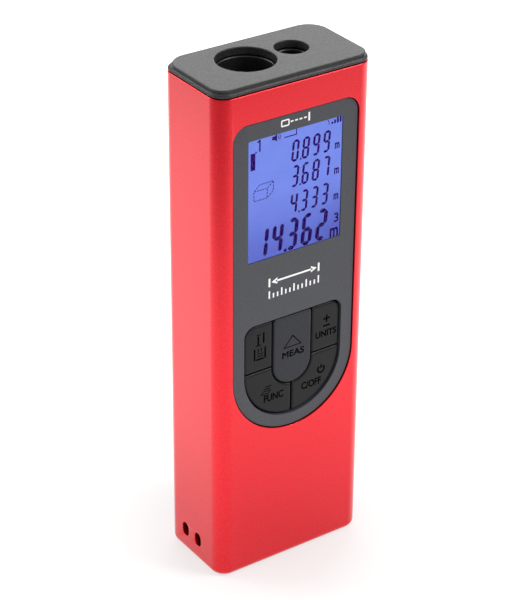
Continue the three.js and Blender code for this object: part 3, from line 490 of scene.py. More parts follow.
def clearAcrylic(name, bend):
    # moulded clear acrylic: see-through, with a faint gloss that grows as it turns away
    material, tree, shader, own = newMaterial(name, {})
    tree.nodes.remove(shader)
    gloss = addNode(tree, "BsdfGlossy", {"Roughness": mottled(tree, own, 1.5, 0.06, 0.12)})
    clear = addNode(tree, "BsdfTransparent", {"Color": linear("#fdfdff")})
    edge = addNode(tree, "Fresnel", {"IOR": bend})
    both = addNode(tree, "MixShader", {0: edge.outputs["Fac"], 1: clear.outputs["BSDF"],
                                       2: gloss.outputs["BSDF"]})
    tree.links.new(both.outputs["Shader"], tree.nodes["Material Output"].inputs["Surface"])
    return material


def coatedGlass(name, tint, edge):
    # a lens with a broadband coating: dark and clear, with a violet to green bloom
    material, tree, shader, own = newMaterial(name, {
        "IOR": 1.52, "Roughness": 0.04, "Coat Weight": 1.0, "Coat Roughness": 0.03})
    facing = addNode(tree, "LayerWeight", {"Blend": 0.4})
    colour = addNode(tree, "MixRGB", {"Fac": facing.outputs["Facing"], "Color1": linear(tint),
                                      "Color2": linear(edge)})
    finished(tree, shader, colour.outputs["Color"], mottled(tree, own, 0.8, 0.03, 0.07))
    return material


def platedMetal(name, light, dark, rough, grain=0.4, stretch=(1, 1, 1)):
    # drawn, stamped or turned metal with a thin plating: bright, slightly streaked
    material, tree, shader, own = newMaterial(name, {"Metallic": 1.0, "Roughness": rough})
    finished(tree, shader, blended(tree, own, grain, dark, light, stretch=stretch),
             mottled(tree, own, grain, rough * 0.7, rough * 1.3, stretch=stretch))
    return material


def solderMask():
    # fibreglass board under green solder mask: tracks show as paler lines through the varnish
    material, tree, shader, own = newMaterial("solderMask", {
        "IOR": 1.5, "Roughness": 0.35, "Coat Weight": 0.4, "Coat Roughness": 0.15})
    wave = addNode(tree, "TexWave", {"Vector": own, "Scale": 1 / (1.3 * mm), "Distortion": 6.0,
                                     "Detail": 1.0}, wave_type="BANDS")
    track = addNode(tree, "MapRange", {"Value": wave.outputs["Fac"], "From Min": 0.72,
                                       "From Max": 0.78}).outputs["Result"]
    weave = blended(tree, own, 0.5, "#0c3a22", "#124a2c", 1.0)
    colour = addNode(tree, "MixRGB", {"Fac": track, "Color1": weave, "Color2": linear("#2a7a4c")})
    finished(tree, shader, colour.outputs["Color"], height=track, depth=0.03)
    return material


def layeredRubber():
    # a contact strip: thin leaves of black and grey silicone, side by side
    material, tree, shader, own = newMaterial("layeredRubber", {"IOR": 1.42, "Roughness": 0.6})
    wave = addNode(tree, "TexWave", {"Vector": own, "Scale": 1 / (2.4 * mm)}, wave_type="BANDS")
    colour = addNode(tree, "MixRGB", {"Fac": wave.outputs["Fac"], "Color1": linear("#1c1c1e"),
                                      "Color2": linear("#8e9094")})
    finished(tree, shader, colour.outputs["Color"])
    return material


def printedSleeve():
    # a shrunk PVC sleeve on a cell: glossy blue with a silver band at the positive end
    material, tree, shader, own = newMaterial("printedSleeve", {
        "IOR": 1.54, "Roughness": 0.28, "Coat Weight": 0.5, "Coat Roughness": 0.1})
    parts = addNode(tree, "SeparateXYZ", {"Vector": own})
    middle = sum(point[2] for point in extent("battery_left")) / 2
    away = addNode(tree, "Math", {0: parts.outputs["Z"], 1: middle * mm}, operation="SUBTRACT")
    side = addNode(tree, "Math", {0: parts.outputs["X"]}, operation="SIGN")
    signed = addNode(tree, "Math", {0: away.outputs[0], 1: side.outputs[0]}, operation="MULTIPLY")
    silver = addNode(tree, "MapRange", {"Value": signed.outputs[0], "From Min": -12.2 * mm,
                                        "From Max": -12.0 * mm, "To Min": 1.0, "To Max": 0.0})
    blue = blended(tree, own, 6.0, "#173a66", "#1d4a80", 1.0)
    colour = addNode(tree, "MixRGB", {"Fac": silver.outputs["Result"], "Color1": blue,
                                      "Color2": linear("#b9bcc2")})
    finished(tree, shader, colour.outputs["Color"], height=mottled(tree, own, 3.0), depth=0.03)
    return material


redMetal = anodisedAluminium()
capPlastic = mouldedPlastic("texturedAbsCap", "#303032", "#19191b", 0.3, 0.035, 0.44)
panelPlastic = mouldedPlastic("matteAbsPanel", "#43444a", "#3a3b41", 0.25, 0.01, 0.5, 0.4)
doorPlastic = mouldedPlastic("texturedAbsDoor", "#333438", "#29292d", 0.3, 0.02, 0.58)
sideRubber = siliconeRubber("siliconeRubberSide", "#0e0f13", "#090a0d")
measureRubber = siliconeRubber("siliconeRubberMeasure", "#2c2d33", "#24252a")
blackRubber = siliconeRubber("siliconeRubberMat", "#141416", "#0b0b0d")
legendInk = printedInk("legendLacquer", "#060607", "#030304", 0.9, 0.05)
whiteInk = printedInk("screenPrintedWhite", "#fbfbfa", "#f0f0ef", 0.5, 0.5)
litField = litDisplay("litDisplayField", "#798eeb", "#606ecb", "#565eb9")
darkSegment = litDisplay("litDisplaySegment", "#2a0568", "#220455", "#1f044c")
clearWindow = clearAcrylic("clearAcrylic", 1.16)
clearEdge = clearAcrylic("clearAcrylicEdge", 1.0)
blackPlastic = mouldedPlastic("glassFilledNylon", "#19191b", "#0e0e10", 0.3, 0.01, 0.5)
darkBore = mouldedPlastic("blackAcetalBore", "#1c1c1d", "#101011", 0.35, 0.01, 0.42)
lensGlass = coatedGlass("coatedOpticalGlass", "#08060f", "#2b3f4a")
brass = platedMetal("turnedBrass", "#cfae66", "#a8853f", 0.28, 0.5, (1, 1, 6))
springSteel = platedMetal("nickelledSpringSteel", "#c9cacc", "#9fa1a4", 0.26)
tinned = platedMetal("tinnedSteel", "#d2d3d4", "#a9abad", 0.34, 1.2)
boardGreen = solderMask()
chipBlack = mouldedPlastic("mouldedEpoxy", "#1d1d1f", "#131315", 0.25, 0.01, 0.5)
flexFilm = mouldedPlastic("polyimideFilm", "#c07c2c", "#9c5f1c", 0.9, 0.004, 0.36)
lightGuide = mouldedPlastic("frostedAcrylic", "#f4f6ff", "#e4e7f4", 0.5, 0.004, 0.4)
zebra = layeredRubber()
sleeve = printedSleeve()
print("materials made")

for names, material in (
    (("keypad_mat",), blackRubber), (("zebra_strip",), zebra), (("lcd_backlight",), lightGuide),
    (("front_carrier", "chassis", "buzzer"), blackPlastic),
    (("main_board", "receiver_board"), boardGreen),
    (("controller_chip", "memory_chip"), chipBlack),
    (("crystal", "shield_can", "photodiode", "contact_bridge", "contact_positive",
      "contact_negative"), tinned),
    ((*(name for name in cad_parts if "screw" in name or name.startswith("dome_")),),
     springSteel),
    (("laser_diode",), brass), (("receiver_flex", "laser_flex"), flexFilm),
    (("collimator_lens",), lensGlass)):
    for name in names:
        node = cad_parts[name]
        node.data.materials.clear()
        node.data.materials.append(material)

# ---- housing: the can's side unrolled into (s, z), with s running round it to the right ----

housing = dict(corner=3.5, base=1.5, wall=1.2, floor=1.5, rim=0.22, lip=0.12,
               cutoutGap=0.2, cutoutCorner=3.5, doorGap=0.25, doorCorner=2.5,
               slotPitch=4.96, slotMiddle=0.87, slotZ=5.7, slotWidth=2.4, slotHeight=3.35)


def wrapped(halfX, halfY, radius):
    # place((s, z), depth) on an upright rounded box: flats and quarter circles by turns,
    # the point less the depth along the outward normal (sin h, -cos h) of its heading h
    flat = np.array([2 * (halfX - radius), 2 * (halfY - radius)])
    quarterTurn = radius * np.pi / 2
    lengths = np.array([flat[0], quarterTurn, flat[1], quarterTurn] * 2)
    starts = np.concatenate([[0], np.cumsum(lengths)])
    corners = np.array([(1, -1), (1, 1), (-1, 1), (-1, -1)]) * flat / 2

    def place(points, depth=0.0):
        walk = (points[:, 0] + flat[0] / 2) % starts[-1]
        part = np.clip(np.searchsorted(starts, walk, side="right") - 1, 0, 7)
        local = walk - starts[part]
        isArc = part % 2 == 1
        heading = (part // 2) * np.pi / 2 + np.where(isArc, local / radius, 0)
        normal = np.stack([np.sin(heading), -np.cos(heading)], 1)
        along = np.stack([np.cos(heading), np.sin(heading)], 1)
        corner = corners[part // 2]
        back = np.where(isArc, 0, local - lengths[part])
        base = corner + radius * normal + back[:, None] * along
        return np.column_stack([base - depth * normal, points[:, 1]])
    return place, starts[-1], flat, quarterTurn


def makeHousing():
    halfX, halfY, top = canHigh
    corner, rim, wall = housing["corner"], housing["rim"], housing["wall"]
    place, around, flat, quarterTurn = wrapped(halfX, halfY, corner)
    seam = flat[0] / 2 + quarterTurn + flat[1] / 2
    steps = 16
    turns = (np.arange(steps) + 0.5) / steps * quarterTurn
    bends = np.concatenate([flat[0] / 2 + turns, seam + flat[1] / 2 + turns])
    stations = np.sort(np.concatenate([bends, bends - around / 2, bends - around,
                                       bends - 1.5 * around]))
    stations = stations[(stations > seam - around + 0.01) & (stations < seam - 0.01)]
    stations = np.concatenate([[seam - around], stations, [seam]])
    gap = housing["cutoutGap"]
    panelHole = shieldOutline(panelHigh[0] + gap, panelHigh[2] + gap, housing["cutoutCorner"])
    gap = housing["doorGap"]
    doorHole = roundedRect(doorLow[0] - gap, doorHigh[0] + gap, doorLow[2] - gap,
                           doorHigh[2] + gap, housing["doorCorner"] + gap)
    radius = housing["slotWidth"] / 2
    reach = housing["slotHeight"] / 2
    slots = [roundedRect(-radius, radius, -reach, reach, radius * 0.98) + (
        -seam - housing["slotMiddle"] - end * housing["slotPitch"] / 2, housing["slotZ"])
        for end in (-1, 1)]
    holes = [panelHole, doorHole - (around / 2, 0), *slots]

    def side(low, high, depth, lip, backward):
        ring = np.column_stack([stations, np.full(len(stations), low)])
        outer = np.vstack([ring, ring[::-1] + (0, high - low)])
        count = len(stations)
        ties = [[k, 2 * count - 1 - k] for k in range(1, count - 1)
                if not any(h[:, 0].min() - lip < stations[k] < h[:, 0].max() + lip
                           for h in holes)]
        loops = [outer, *(offsetLoop(hole, lip) for hole in holes)]
        found, triangles, inside = triangulate(loops, ties)
        solid = inside[0] & ~inside[1:].any(axis=0)
        order = slice(None, None, -1) if backward else slice(None)
        return place(found, depth), triangles[solid][:, order], 0

    def hoop(depth, z):
        return place(np.column_stack([stations[:-1], np.full(len(stations) - 1, z)]), depth)

    def hoops(rows):
        points = np.concatenate([hoop(depth, z) for depth, z in rows])
        return points, gridFaces(len(rows), len(stations) - 1), 0

    base, floor = housing["base"], housing["floor"]
    fan = np.arange(len(stations) - 1)[None, :]
    patches = [
        side(base, top - rim, 0.0, housing["lip"], False),
        side(floor, top - rim, wall, 0.0, True),
        hoops(quarter(base, base, 9)),
        hoops([(0.0, top - rim), *((rim * (1 - np.cos(a)), top - rim * (1 - np.sin(a)))
                                   for a in np.linspace(0, np.pi / 2, 5)[1:])]),
        hoops([(rim, top), (wall - rim / 2, top), (wall, top - rim)]),
        (hoop(base, 0.0), fan[:, ::-1], 0),
        (hoop(wall, floor), fan, 0)]
    lipProfile = [*quarter(housing["lip"], housing["lip"], 5), (0, wall)]
    patches += [band(place, hole, lipProfile, 0, True) for hole in holes]
    makePiece("housing_can", patches, [redMetal], "housing")


makeHousing()
print("housing made")

# ---- top cap ----

cap = dict(joint=0.12, height=1.75, corner=3.5, lip=0.22,
           receiver=6.35, laser=3.6, skirt=3.0, skirtGap=0.15, skirtWall=0.8,
           # steps in at the sides, the front and the back, the height above the rim, and how
           # much rounder the back corners are
           bead=((0.42, 0.42, 0.42, 0.12, 0), (0.22, 0.22, 0.22, 0.2, 0),
                 (0.07, 0.08, 0.07, 0.36, 0), (0.05, 0.06, 0.05, 0.56, 0),
                 (0.1, 0.13, 0.09, 0.8, 0.4), (0.27, 0.35, 0.2, 1.0, 0.9),
                 (0.47, 0.56, 0.3, 1.1, 1.3),
                 (0.56, 0.68, 0.36, 1.1, 1.5), (0.54, 0.68, 0.38, 1.24, 1.5),
                 (0.46, 0.63, 0.36, 1.52, 1.5), (0.49, 0.66, 0.38, 1.7, 1.5),
                 (0.6, 0.8, 0.46, 1.75, 1.5)))


def cutCorners(rows, times=2):
    # each pass puts two points on every stretch, a quarter from its ends, and keeps the end rows
    for _ in range(times):
        nearer = 0.75 * rows[:-1] + 0.25 * rows[1:]
        further = 0.25 * rows[:-1] + 0.75 * rows[1:]
        inner = np.stack([nearer, further], 1).reshape(-1, rows.shape[1])
        rows = np.vstack([rows[:1], inner, rows[-1:]])
    return rows


def makeCap():
    rows = cutCorners(np.array(cap["bead"]))
    rim = canHigh[2]
    rings = []
    for side, front, back, level, ease in rows:
        corner = cap["corner"] - side
        ring = roundedRect(canLow[0] + side, canHigh[0] - side, canLow[1] + front,
                           canHigh[1] - back, corner, upper=corner + ease)
        rings.append(np.column_stack([ring, np.full(len(ring), rim + level)]))
    skin = (np.concatenate(rings), gridFaces(len(rings), len(rings[0])), 0)
    bores = [arcPoints(*receiverAt, cap["receiver"], 0, 360, 97)[:-1],
             arcPoints(*laserAt, cap["laser"], 0, 360, 73)[:-1]]
    lip = (cap["lip"], cap["lip"])
    deep = cap["height"] - cap["joint"]
    place = topFace(rim + cap["height"])
    patches = [skin, *sheet(place, rings[-1][:, :2], [offsetLoop(b, lip[0]) for b in bores])]
    patches += [band(place, bore, [*quarter(*lip), (0, deep)], 0, True) for bore in bores]
    patches += sheet(place, rings[0][:, :2], bores, depth=deep, backward=True)
    inset = housing["wall"] + cap["skirtGap"]
    skirt = roundedRect(canLow[0] + inset, canHigh[0] - inset, canLow[1] + inset,
                        canHigh[1] - inset, housing["corner"] - inset)
    inner = offsetLoop(skirt, -cap["skirtWall"])
    under = topFace(rim)
    depth = cap["skirt"]
    patches += [band(under, skirt, [(0, -cap["joint"]), (0, depth)]),
                band(under, inner, [(0, -cap["joint"]), (0, depth)], 0, True)]
    patches += sheet(under, skirt, [inner], depth=depth, backward=True)
    patches += sheet(under, skirt, [inner], depth=-cap["joint"])
    makePiece("top_cap_shell", patches, [capPlastic], "top_cap")


makeCap()
print("cap made")

# ---- front panel, window and display ----

panel = dict(corner=3.3, edge=(0.1, 0.1), lip=(0.08, 0.08), windowLip=(0.04, 0.04),
             windowHalf=11.7, windowBottom=77.2, windowTop=105.0, windowCorner=0.3,
             lipThickness=0.3, rebate=1.5, windowGap=0.1, paneLip=0.05, flangeCorner=1.6,
             keypadHalf=12.55, keypadTop=62.0, keypadCorner=2.5)


def rangePictogram():
    # a double-headed arrow between two posts, over a short ruler
    x, z, tall, head = 6.3, 71.3, 2.0, 1.5
    arrow = stroke([(-x + 1.6, z), (x - 1.6, z)], 0.42)
    tips = [np.array([(s * (x - 0.5), z), (s * (x - 0.5 - head), z + 0.75 * s),
                      (s * (x - 0.5 - head), z - 0.75 * s)]) for s in (1, -1)]
    posts = [stroke([(s * x, z - tall / 2), (s * x, z + tall / 2)], 0.45) for s in (1, -1)]
    ticks = [stroke([(t, 67.5), (t, 69.3 if k % 3 == 0 else 68.6)], 0.36)
             for k, t in enumerate(np.linspace(-x, x, 13))]
    return oriented([arrow, *tips, *posts, *ticks])


def beamPictogram():
    # a small instrument that sends a dashed beam to a wall
    z = 107.0
    box = roundedRect(-3.7, -1.9, z - 0.62, z + 0.62, 0.2, 5)
    dashes = [stroke([(x, z), (x + 0.7, z)], 0.32) for x in (-1.5, -0.4, 0.7, 1.8)]
    wallBar = stroke([(3.1, z - 0.95), (3.1, z + 0.95)], 0.42)
    return oriented([*framed(box, 0.3), *dashes, wallBar])


def makePanel():
    place = frontFace(panelLow[1])
    thick = panelHigh[1] - panelLow[1]
    outer = shieldOutline(panelHigh[0], panelHigh[2], panel["corner"])
    window = roundedRect(-panel["windowHalf"], panel["windowHalf"], panel["windowBottom"],
                         panel["windowTop"], panel["windowCorner"], 5)
    keypad = shieldOutline(panel["keypadHalf"], panel["keypadTop"], panel["keypadCorner"])
    marks = [dict(loops=rangePictogram(), slot=1), dict(loops=beamPictogram(), slot=1)]
    lipDeep = panel["lipThickness"]
    rebate = offsetLoop(window, panel["rebate"])
    patches = slab(place, outer, thick, panel["edge"],
                   [(window, panel["windowLip"], lipDeep), (keypad, panel["lip"], thick)],
                   marks, [rebate, keypad])
    patches += sheet(place, rebate, [window], depth=lipDeep, backward=True)
    patches.append(band(place, rebate, [(0, lipDeep), (0, thick)], 0, True))
    makePiece("front_panel_moulding", patches, [panelPlastic, whiteInk], "front_panel")


def makeWindow():
    gap, lip = panel["windowGap"], panel["paneLip"]
    place = frontFace(windowLow[1])
    thick = windowHigh[1] - windowLow[1]
    pane = roundedRect(gap - panel["windowHalf"], panel["windowHalf"] - gap,
                       panel["windowBottom"] + gap, panel["windowTop"] - gap, gap, 5)
    flange = roundedRect(windowLow[0], windowHigh[0], windowLow[2], windowHigh[2],
                         panel["flangeCorner"], 5)
    step = panelLow[1] + panel["lipThickness"] + gap - windowLow[1]
    patches = sheet(place, offsetLoop(pane, -lip))
    patches += [band(place, pane, [*quarter(lip, lip, 3), (0, step)], 1),
                band(place, flange, [(0, step), (0, thick)], 1)]
    patches += sheet(place, flange, [pane], depth=step, slot=1)
    patches += sheet(place, flange, depth=thick, backward=True, slot=1)
    makePiece("display_window_pane", patches, [clearWindow, clearEdge], "display_window")


# a figure's strokes by letter: a top, b upper right, c lower right, d bottom, e lower left,
# f upper left, g middle
figureStrokes = {"0": "abcdef", "1": "bc", "2": "abdeg", "3": "abcdg", "4": "bcfg", "5": "acdfg",
                 "6": "acdefg", "7": "abc", "8": "abcdefg", "9": "abcdfg"}


def figureLoops(figure, x, z, width, height, weight, slant):
    # seven-stroke figure in a leaning cell; a stroke is a bar with mitred ends
    w, h, t, gap = width, height, weight, weight * 0.04
    level = {"a": h - t / 2, "g": h / 2, "d": t / 2}
    upright = {"b": (w - t / 2, h / 2, h), "c": (w - t / 2, 0, h / 2),
               "e": (t / 2, 0, h / 2), "f": (t / 2, h / 2, h)}
    loops = []
    for name in figureStrokes[figure]:
        if name in level:
            y, a, b = level[name], t / 2 + gap, w - t / 2 - gap
            bar = [(a, y), (a + t / 2, y - t / 2), (b - t / 2, y - t / 2), (b, y),
                   (b - t / 2, y + t / 2), (a + t / 2, y + t / 2)]
        else:
            mid, low, high = upright[name]
            a, b = low + (t / 2 if low == 0 else 0) + gap, high - (t / 2 if high == h else 0) - gap
            bar = [(mid, a), (mid + t / 2, a + t / 2), (mid + t / 2, b - t / 2), (mid, b),
                   (mid - t / 2, b - t / 2), (mid - t / 2, a + t / 2)]
        loops.append(np.array(bar))
    return [loop @ np.array([[1, 0], [slant, 1]]) + (x, z) for loop in loops]


display = dict(corner=0.15, edge=(0.05, 0.05), slant=0.09,
               rowHeight=4.9, rowWidth=1.8, rowWeight=0.56, rowPitch=2.62,
               bigHeight=7.4, bigWidth=2.8, bigWeight=0.97, bigPitch=3.75)


def displayRow(words, x, z, width, height, weight, pitch):
    # figures at an even pitch, with a square point squeezed in after the figure before it
    loops, column = [], 0
    for sign in words:
        if sign == ".":
            at = x + column * pitch - (pitch - width) / 2
            loops.append(roundedRect(at - weight / 2, at + weight / 2, z, z + weight,
                                     weight * 0.2, 3))
        else:
            loops += figureLoops(sign, x + column * pitch, z, width, height, weight,
                                 display["slant"])
            column += 1
    return loops


def displayMarks():
    # three rows and the main one, their points, the unit signs, the pointer, the battery, the
    # speaker, a corner, the signal bars, and the dashed edges of a box
    d = display
    small = (d["rowWidth"], d["rowHeight"], d["rowWeight"], d["rowPitch"])
    loops = displayRow("0899", -0.3, 96.9, *small)
    loops += displayRow("3687", -0.3, 91.1, *small)
    loops += displayRow("4333", -0.5, 84.9, *small)
    loops += displayRow("14362", -8.9, 76.6, d["bigWidth"], d["bigHeight"], d["bigWeight"],
                        d["bigPitch"])
    points = [(1.95, 96.9, 0.42), (1.95, 91.1, 0.42), (1.75, 84.9, 0.42), (-1.75, 76.6, 0.7)]
    loops += [roundedRect(x, x + s, z, z + s, s * 0.2, 3) for x, z, s in points]
    for z in (97.1, 91.3, 85.3):
        loops += lettering("m", 10.85, 11.95, z, z + 1.3, 0.07)
    loops += lettering("m", 10.1, 12.1, 76.6, 78.6, 0.1)
    loops += lettering("3", 11.1, 12.2, 79.9, 82.0, 0.06)
    loops.append(stroke([(-8.6, 103.6), (-8.0, 103.9), (-8.0, 101.4)], 0.36))
    loops.append(roundedRect(-9.1, -8.75, 101.3, 101.65, 0.1, 3))
    loops.append(roundedRect(-10.25, -9.1, 97.6, 101.4, 0.05, 3))
    loops.append(np.array([(-5.0, 103.1), (-4.4, 103.1), (-3.8, 102.6), (-3.8, 104.4),
                           (-4.4, 103.9), (-5.0, 103.9)]))
    loops += [stroke([(x, 103.5 - r), (x + 0.25 * r, 103.5), (x, 103.5 + r)], 0.16)
              for x, r in ((-3.5, 0.4), (-3.15, 0.62))]
    loops.append(stroke([(-2.0, 103.0), (1.0, 103.0), (1.0, 106.0)], 0.24))
    loops += [roundedRect(x, x + 0.5, 102.95, 102.95 + h, 0.04, 3)
              for x, h in ((9.75, 0.5), (10.45, 0.85), (11.15, 1.3), (11.85, 1.8))]
    loops.append(stroke([(8.75, 104.2), (9.15, 103.7), (9.15, 102.95)], 0.16))
    x0, x1, z0, z1, shiftX, shiftZ = -9.4, -6.1, 90.5, 92.7, 1.5, 1.3
    corners = [(x0, z0), (x1, z0), (x1, z1), (x0, z1), (x0, z0)]
    rear = [(x0, z1), (x0 + shiftX, z1 + shiftZ), (x1 + shiftX, z1 + shiftZ),
            (x1 + shiftX, z0 + shiftZ), (x1, z0)]
    edge = [(x1, z1), (x1 + shiftX, z1 + shiftZ)]
    for chain in (corners, rear, edge):
        for a, b in zip(chain[:-1], chain[1:]):
            a, b = np.array(a), np.array(b)
            count = max(2, int(np.linalg.norm(b - a) / 0.62))
            for k in range(count):
                start, end = a + (b - a) * (k + 0.2) / count, a + (b - a) * (k + 0.8) / count
                loops.append(stroke([start, end], 0.22))
    return oriented(loops)


def makeDisplay():
    outer = roundedRect(lcdLow[0], lcdHigh[0], lcdLow[2], lcdHigh[2], display["corner"], 3)
    patches = slab(frontFace(lcdLow[1]), outer, lcdHigh[1] - lcdLow[1], display["edge"], (),
                   [dict(loops=displayMarks(), slot=1)])
    makePiece("lcd_panel", patches, [litField, darkSegment], "lcd_glass")


makePanel()
makeWindow()
makeDisplay()
print("panel and display made")

# ---- keys ----

keys = dict(soften=0.35, edge=(0.55, 0.4), measureEdge=(0.42, 0.36), sink=0.2, line=0.42,
            bold=0.07, corner=2.22, measureCorner=0.4, thickness=1.55, stem=1.5, stemEdge=0.2,
            overlap=0.1)


def measureOutline():
    return softened(shieldOutline(measureHigh[0], measureHigh[2], keys["measureCorner"]),
                    keys["soften"])


def upperOutline():
    inner, outer, low, top = unitsLow[0], unitsHigh[0], unitsLow[2], unitsHigh[2]
    corner = keys["corner"]
    return softened(np.vstack([
        (inner, low), (outer, low),
        arcPoints(outer - corner, top - corner, corner, 0, 90), (inner, top)]), keys["soften"])


def lowerOutline():
    inner, outer, split, top = unitsLow[0], clearHigh[0], clearLow[0], clearHigh[2]
    innerEnd = -np.degrees(np.arccos(split / inner))
    outerEnd = -np.degrees(np.arccos(split / outer))
    return softened(np.vstack([
        (outer, top), (inner, top),
        arcPoints(0, archZ, inner, 0, innerEnd, 61), arcPoints(0, archZ, outer, outerEnd, 0, 91)]),
        keys["soften"])


def mirrored(loop):
    return (loop * (-1, 1))[::-1]


def referenceLegend():
    # two signs: an instrument standing in a corner, and one that measures from its foot
    line = keys["line"]
    foot = [stroke([(-9.7, 53.2), (-9.7, 56.0)], line), stroke([(-7.0, 53.2), (-7.0, 56.0)], line),
            stroke([(-9.3, 53.3), (-7.4, 53.3)], line)]
    waves = [stroke([(-9.1, z), (-8.7, z + 0.22), (-8.3, z), (-7.9, z + 0.22), (-7.5, z)], 0.2)
             for z in (53.9, 54.5)]
    bars = [stroke([(x, 55.0), (x, 56.0)], 0.26) for x in (-8.8, -8.0)]
    post = [stroke([(-8.8, 56.9), (-8.8, 59.0)], line), stroke([(-9.5, 56.7), (-8.1, 56.7)], 0.26),
            stroke([(-9.2, 59.25), (-8.2, 59.25)], 0.26),
            stroke([(-7.4, 57.0), (-7.4, 59.6)], line)]
    return [*foot, *waves, *bars, *post]


def plusMinusLegend():
    x, z, arm, half = 9.0, 57.75, 0.9, keys["line"] / 2
    plus = np.array([(half, half), (arm, half), (arm, -half), (half, -half), (half, -arm),
                     (-half, -arm), (-half, -half), (-arm, -half), (-arm, half), (-half, half),
                     (-half, arm), (half, arm)])[::-1] + (x, z)
    minus = stroke([(x - arm, 56.0), (x + arm, 56.0)], keys["line"])
    return [plus, minus, *lettering("UNITS", 6.2, 11.6, 53.4, 54.9, keys["bold"])]


def powerLegend():
    x, z, radius = 7.8, 45.4, 0.85
    ring = stroke(arcPoints(x, z, radius, 125, 415, 25), keys["line"])
    bar = stroke([(x, z + 0.2), (x, z + 1.15)], keys["line"])
    return [ring, bar, *lettering("C/OFF", 2.7, 7.8, 41.8, 43.5, keys["bold"])]


def functionLegend():
    # two leaning sheets, one over the other
    leaf = np.array([(-1.2, -0.35), (0.7, -0.35), (1.3, 0.35), (-0.6, 0.35)])
    return [*(loop + (-6.8, 44.35) for loop in framed(leaf, 0.22)),
            stroke([(-7.3, 45.2), (-5.6, 45.2)], 0.24),
            stroke([(-6.9, 45.75), (-5.3, 45.75)], 0.24),
            *lettering("FUNC", -7.2, -2.2, 41.9, 43.6, keys["bold"])]


def measureLegend():
    peak = np.array([(-2.2, 53.9), (2.2, 53.9), (0.0, 56.5)])
    return [*framed(peak, 0.26), *lettering("MEAS", -2.6, 3.0, 51.4, 52.9, keys["bold"])]


def makeKey(name, outline, legend, edge, rubber):
    low, high = extent(f"key_{name}")
    domeLow, domeHigh = extent(f"dome_{name}")
    backY = measureLow[1] + keys["thickness"]
    patches = slab(frontFace(low[1]), outline, backY - low[1], edge, (),
                   [dict(loops=oriented(legend), slot=1, sink=keys["sink"])])
    radius, start, bevel = keys["stem"], backY - keys["overlap"], keys["stemEdge"]
    stem = [(0, start), (radius, start), (radius, high[1] - bevel), (radius - bevel, high[1]),
            (0, high[1])]
    patches.append(turned(stem, (domeLow + domeHigh)[[0, 2]] / 2, sides=40, axis="y"))
    makePiece(f"{name}_key", patches, [rubber, legendInk], f"key_{name}",
              f"key_{name}_cap")


makeKey("measure", measureOutline(), measureLegend(), keys["measureEdge"], measureRubber)
makeKey("units", upperOutline(), plusMinusLegend(), keys["edge"], sideRubber)
makeKey("reference", mirrored(upperOutline()), referenceLegend(), keys["edge"], sideRubber)
makeKey("clear_off", lowerOutline(), powerLegend(), keys["edge"], sideRubber)
makeKey("function", mirrored(lowerOutline()), functionLegend(), keys["edge"], sideRubber)
print("keys made")

# ---- battery door ----

door = dict(thickness=1.2, edge=(0.25, 0.25), corner=2.5, scoopHalf=4.5, scoopReach=2.6,
            scoopDepth=0.65, scoopTop=3.2, grips=5, gripPitch=1.5, gripHalf=5.0, gripWidth=0.7,
            gripSink=0.3, arrowDown=20.0, arrowHalf=2.2, arrowTall=2.6, arrowSink=0.2,
            tabX=12.7, tabEnd=7.5, tabHalf=(0.4, 2.0), tabCorner=0.15,
            tabBevel=0.2, overlap=0.1)


def makeDoor():
    place = backFace(doorHigh[1])
    thick = door["thickness"]
    outer = roundedRect(doorLow[0], doorHigh[0], doorLow[2], doorHigh[2], door["corner"])
    scoopZ = doorHigh[2] - door["scoopTop"]
    reach = door["scoopReach"]
    scoop = roundedRect(-door["scoopHalf"], door["scoopHalf"], scoopZ - reach, scoopZ + reach,
                        reach * 0.98, 17)
    rows = np.linspace(1, 0, 9)
    middle = np.array([0, scoopZ])
    # the bowl's depth is that of half an ellipsoid: root of (1 less the share of reach squared)
    bowl = np.concatenate([place(middle + (scoop - middle) * share,
                                 door["scoopDepth"] * (1 - share ** 2) ** 0.5) for share in rows])
    width = door["gripWidth"]
    grips = [roundedRect(-door["gripHalf"], door["gripHalf"], z - width / 2, z + width / 2,
                         width * 0.49, 7)
             for z in scoopZ - reach - door["gripPitch"] * (1 + np.arange(door["grips"]))]
    foot, half = doorHigh[2] - door["arrowDown"], door["arrowHalf"]
    arrow = np.array([(-half, foot), (half, foot), (0.0, foot + door["arrowTall"])])
    marks = [dict(loops=grips, slot=0, sink=door["gripSink"]),
             dict(loops=[arrow], slot=0, sink=door["arrowSink"])]
    patches = sheet(place, offsetLoop(outer, -door["edge"][0]), [scoop], marks)
    patches += [(bowl, gridFaces(len(rows), len(scoop)), 0),
                band(place, outer, [*quarter(*door["edge"]), (0, thick)])]
    patches += sheet(place, outer, depth=thick, backward=True)
    halfX, halfZ = door["tabHalf"]
    lip, start, depth = door["tabCorner"], thick - door["overlap"], doorHigh[1] - doorLow[1]
    for x in (-door["tabX"], door["tabX"]):
        for z in (doorLow[2] + door["tabEnd"], doorHigh[2] - door["tabEnd"]):
            tab = roundedRect(x - halfX, x + halfX, z - halfZ, z + halfZ, lip, 4)
            patches += [band(place, tab, [(0, start), (0, depth - door["tabBevel"]),
                                       (lip, depth)])]
            patches += sheet(place, offsetLoop(tab, -lip), depth=depth, backward=True)
            patches += sheet(place, tab, depth=start)
    makePiece("battery_door_cover", patches, [doorPlastic], "battery_door",
              "door")


makeDoor()
print("door made")

# ---- batteries, springs and optics ----

cell = dict(sides=96, nipple=1.9, crown=2.3, metal=0.5)
spring = dict(wire=0.25, turns=4.0, tip=2.2, closed=0.08, steps=200)


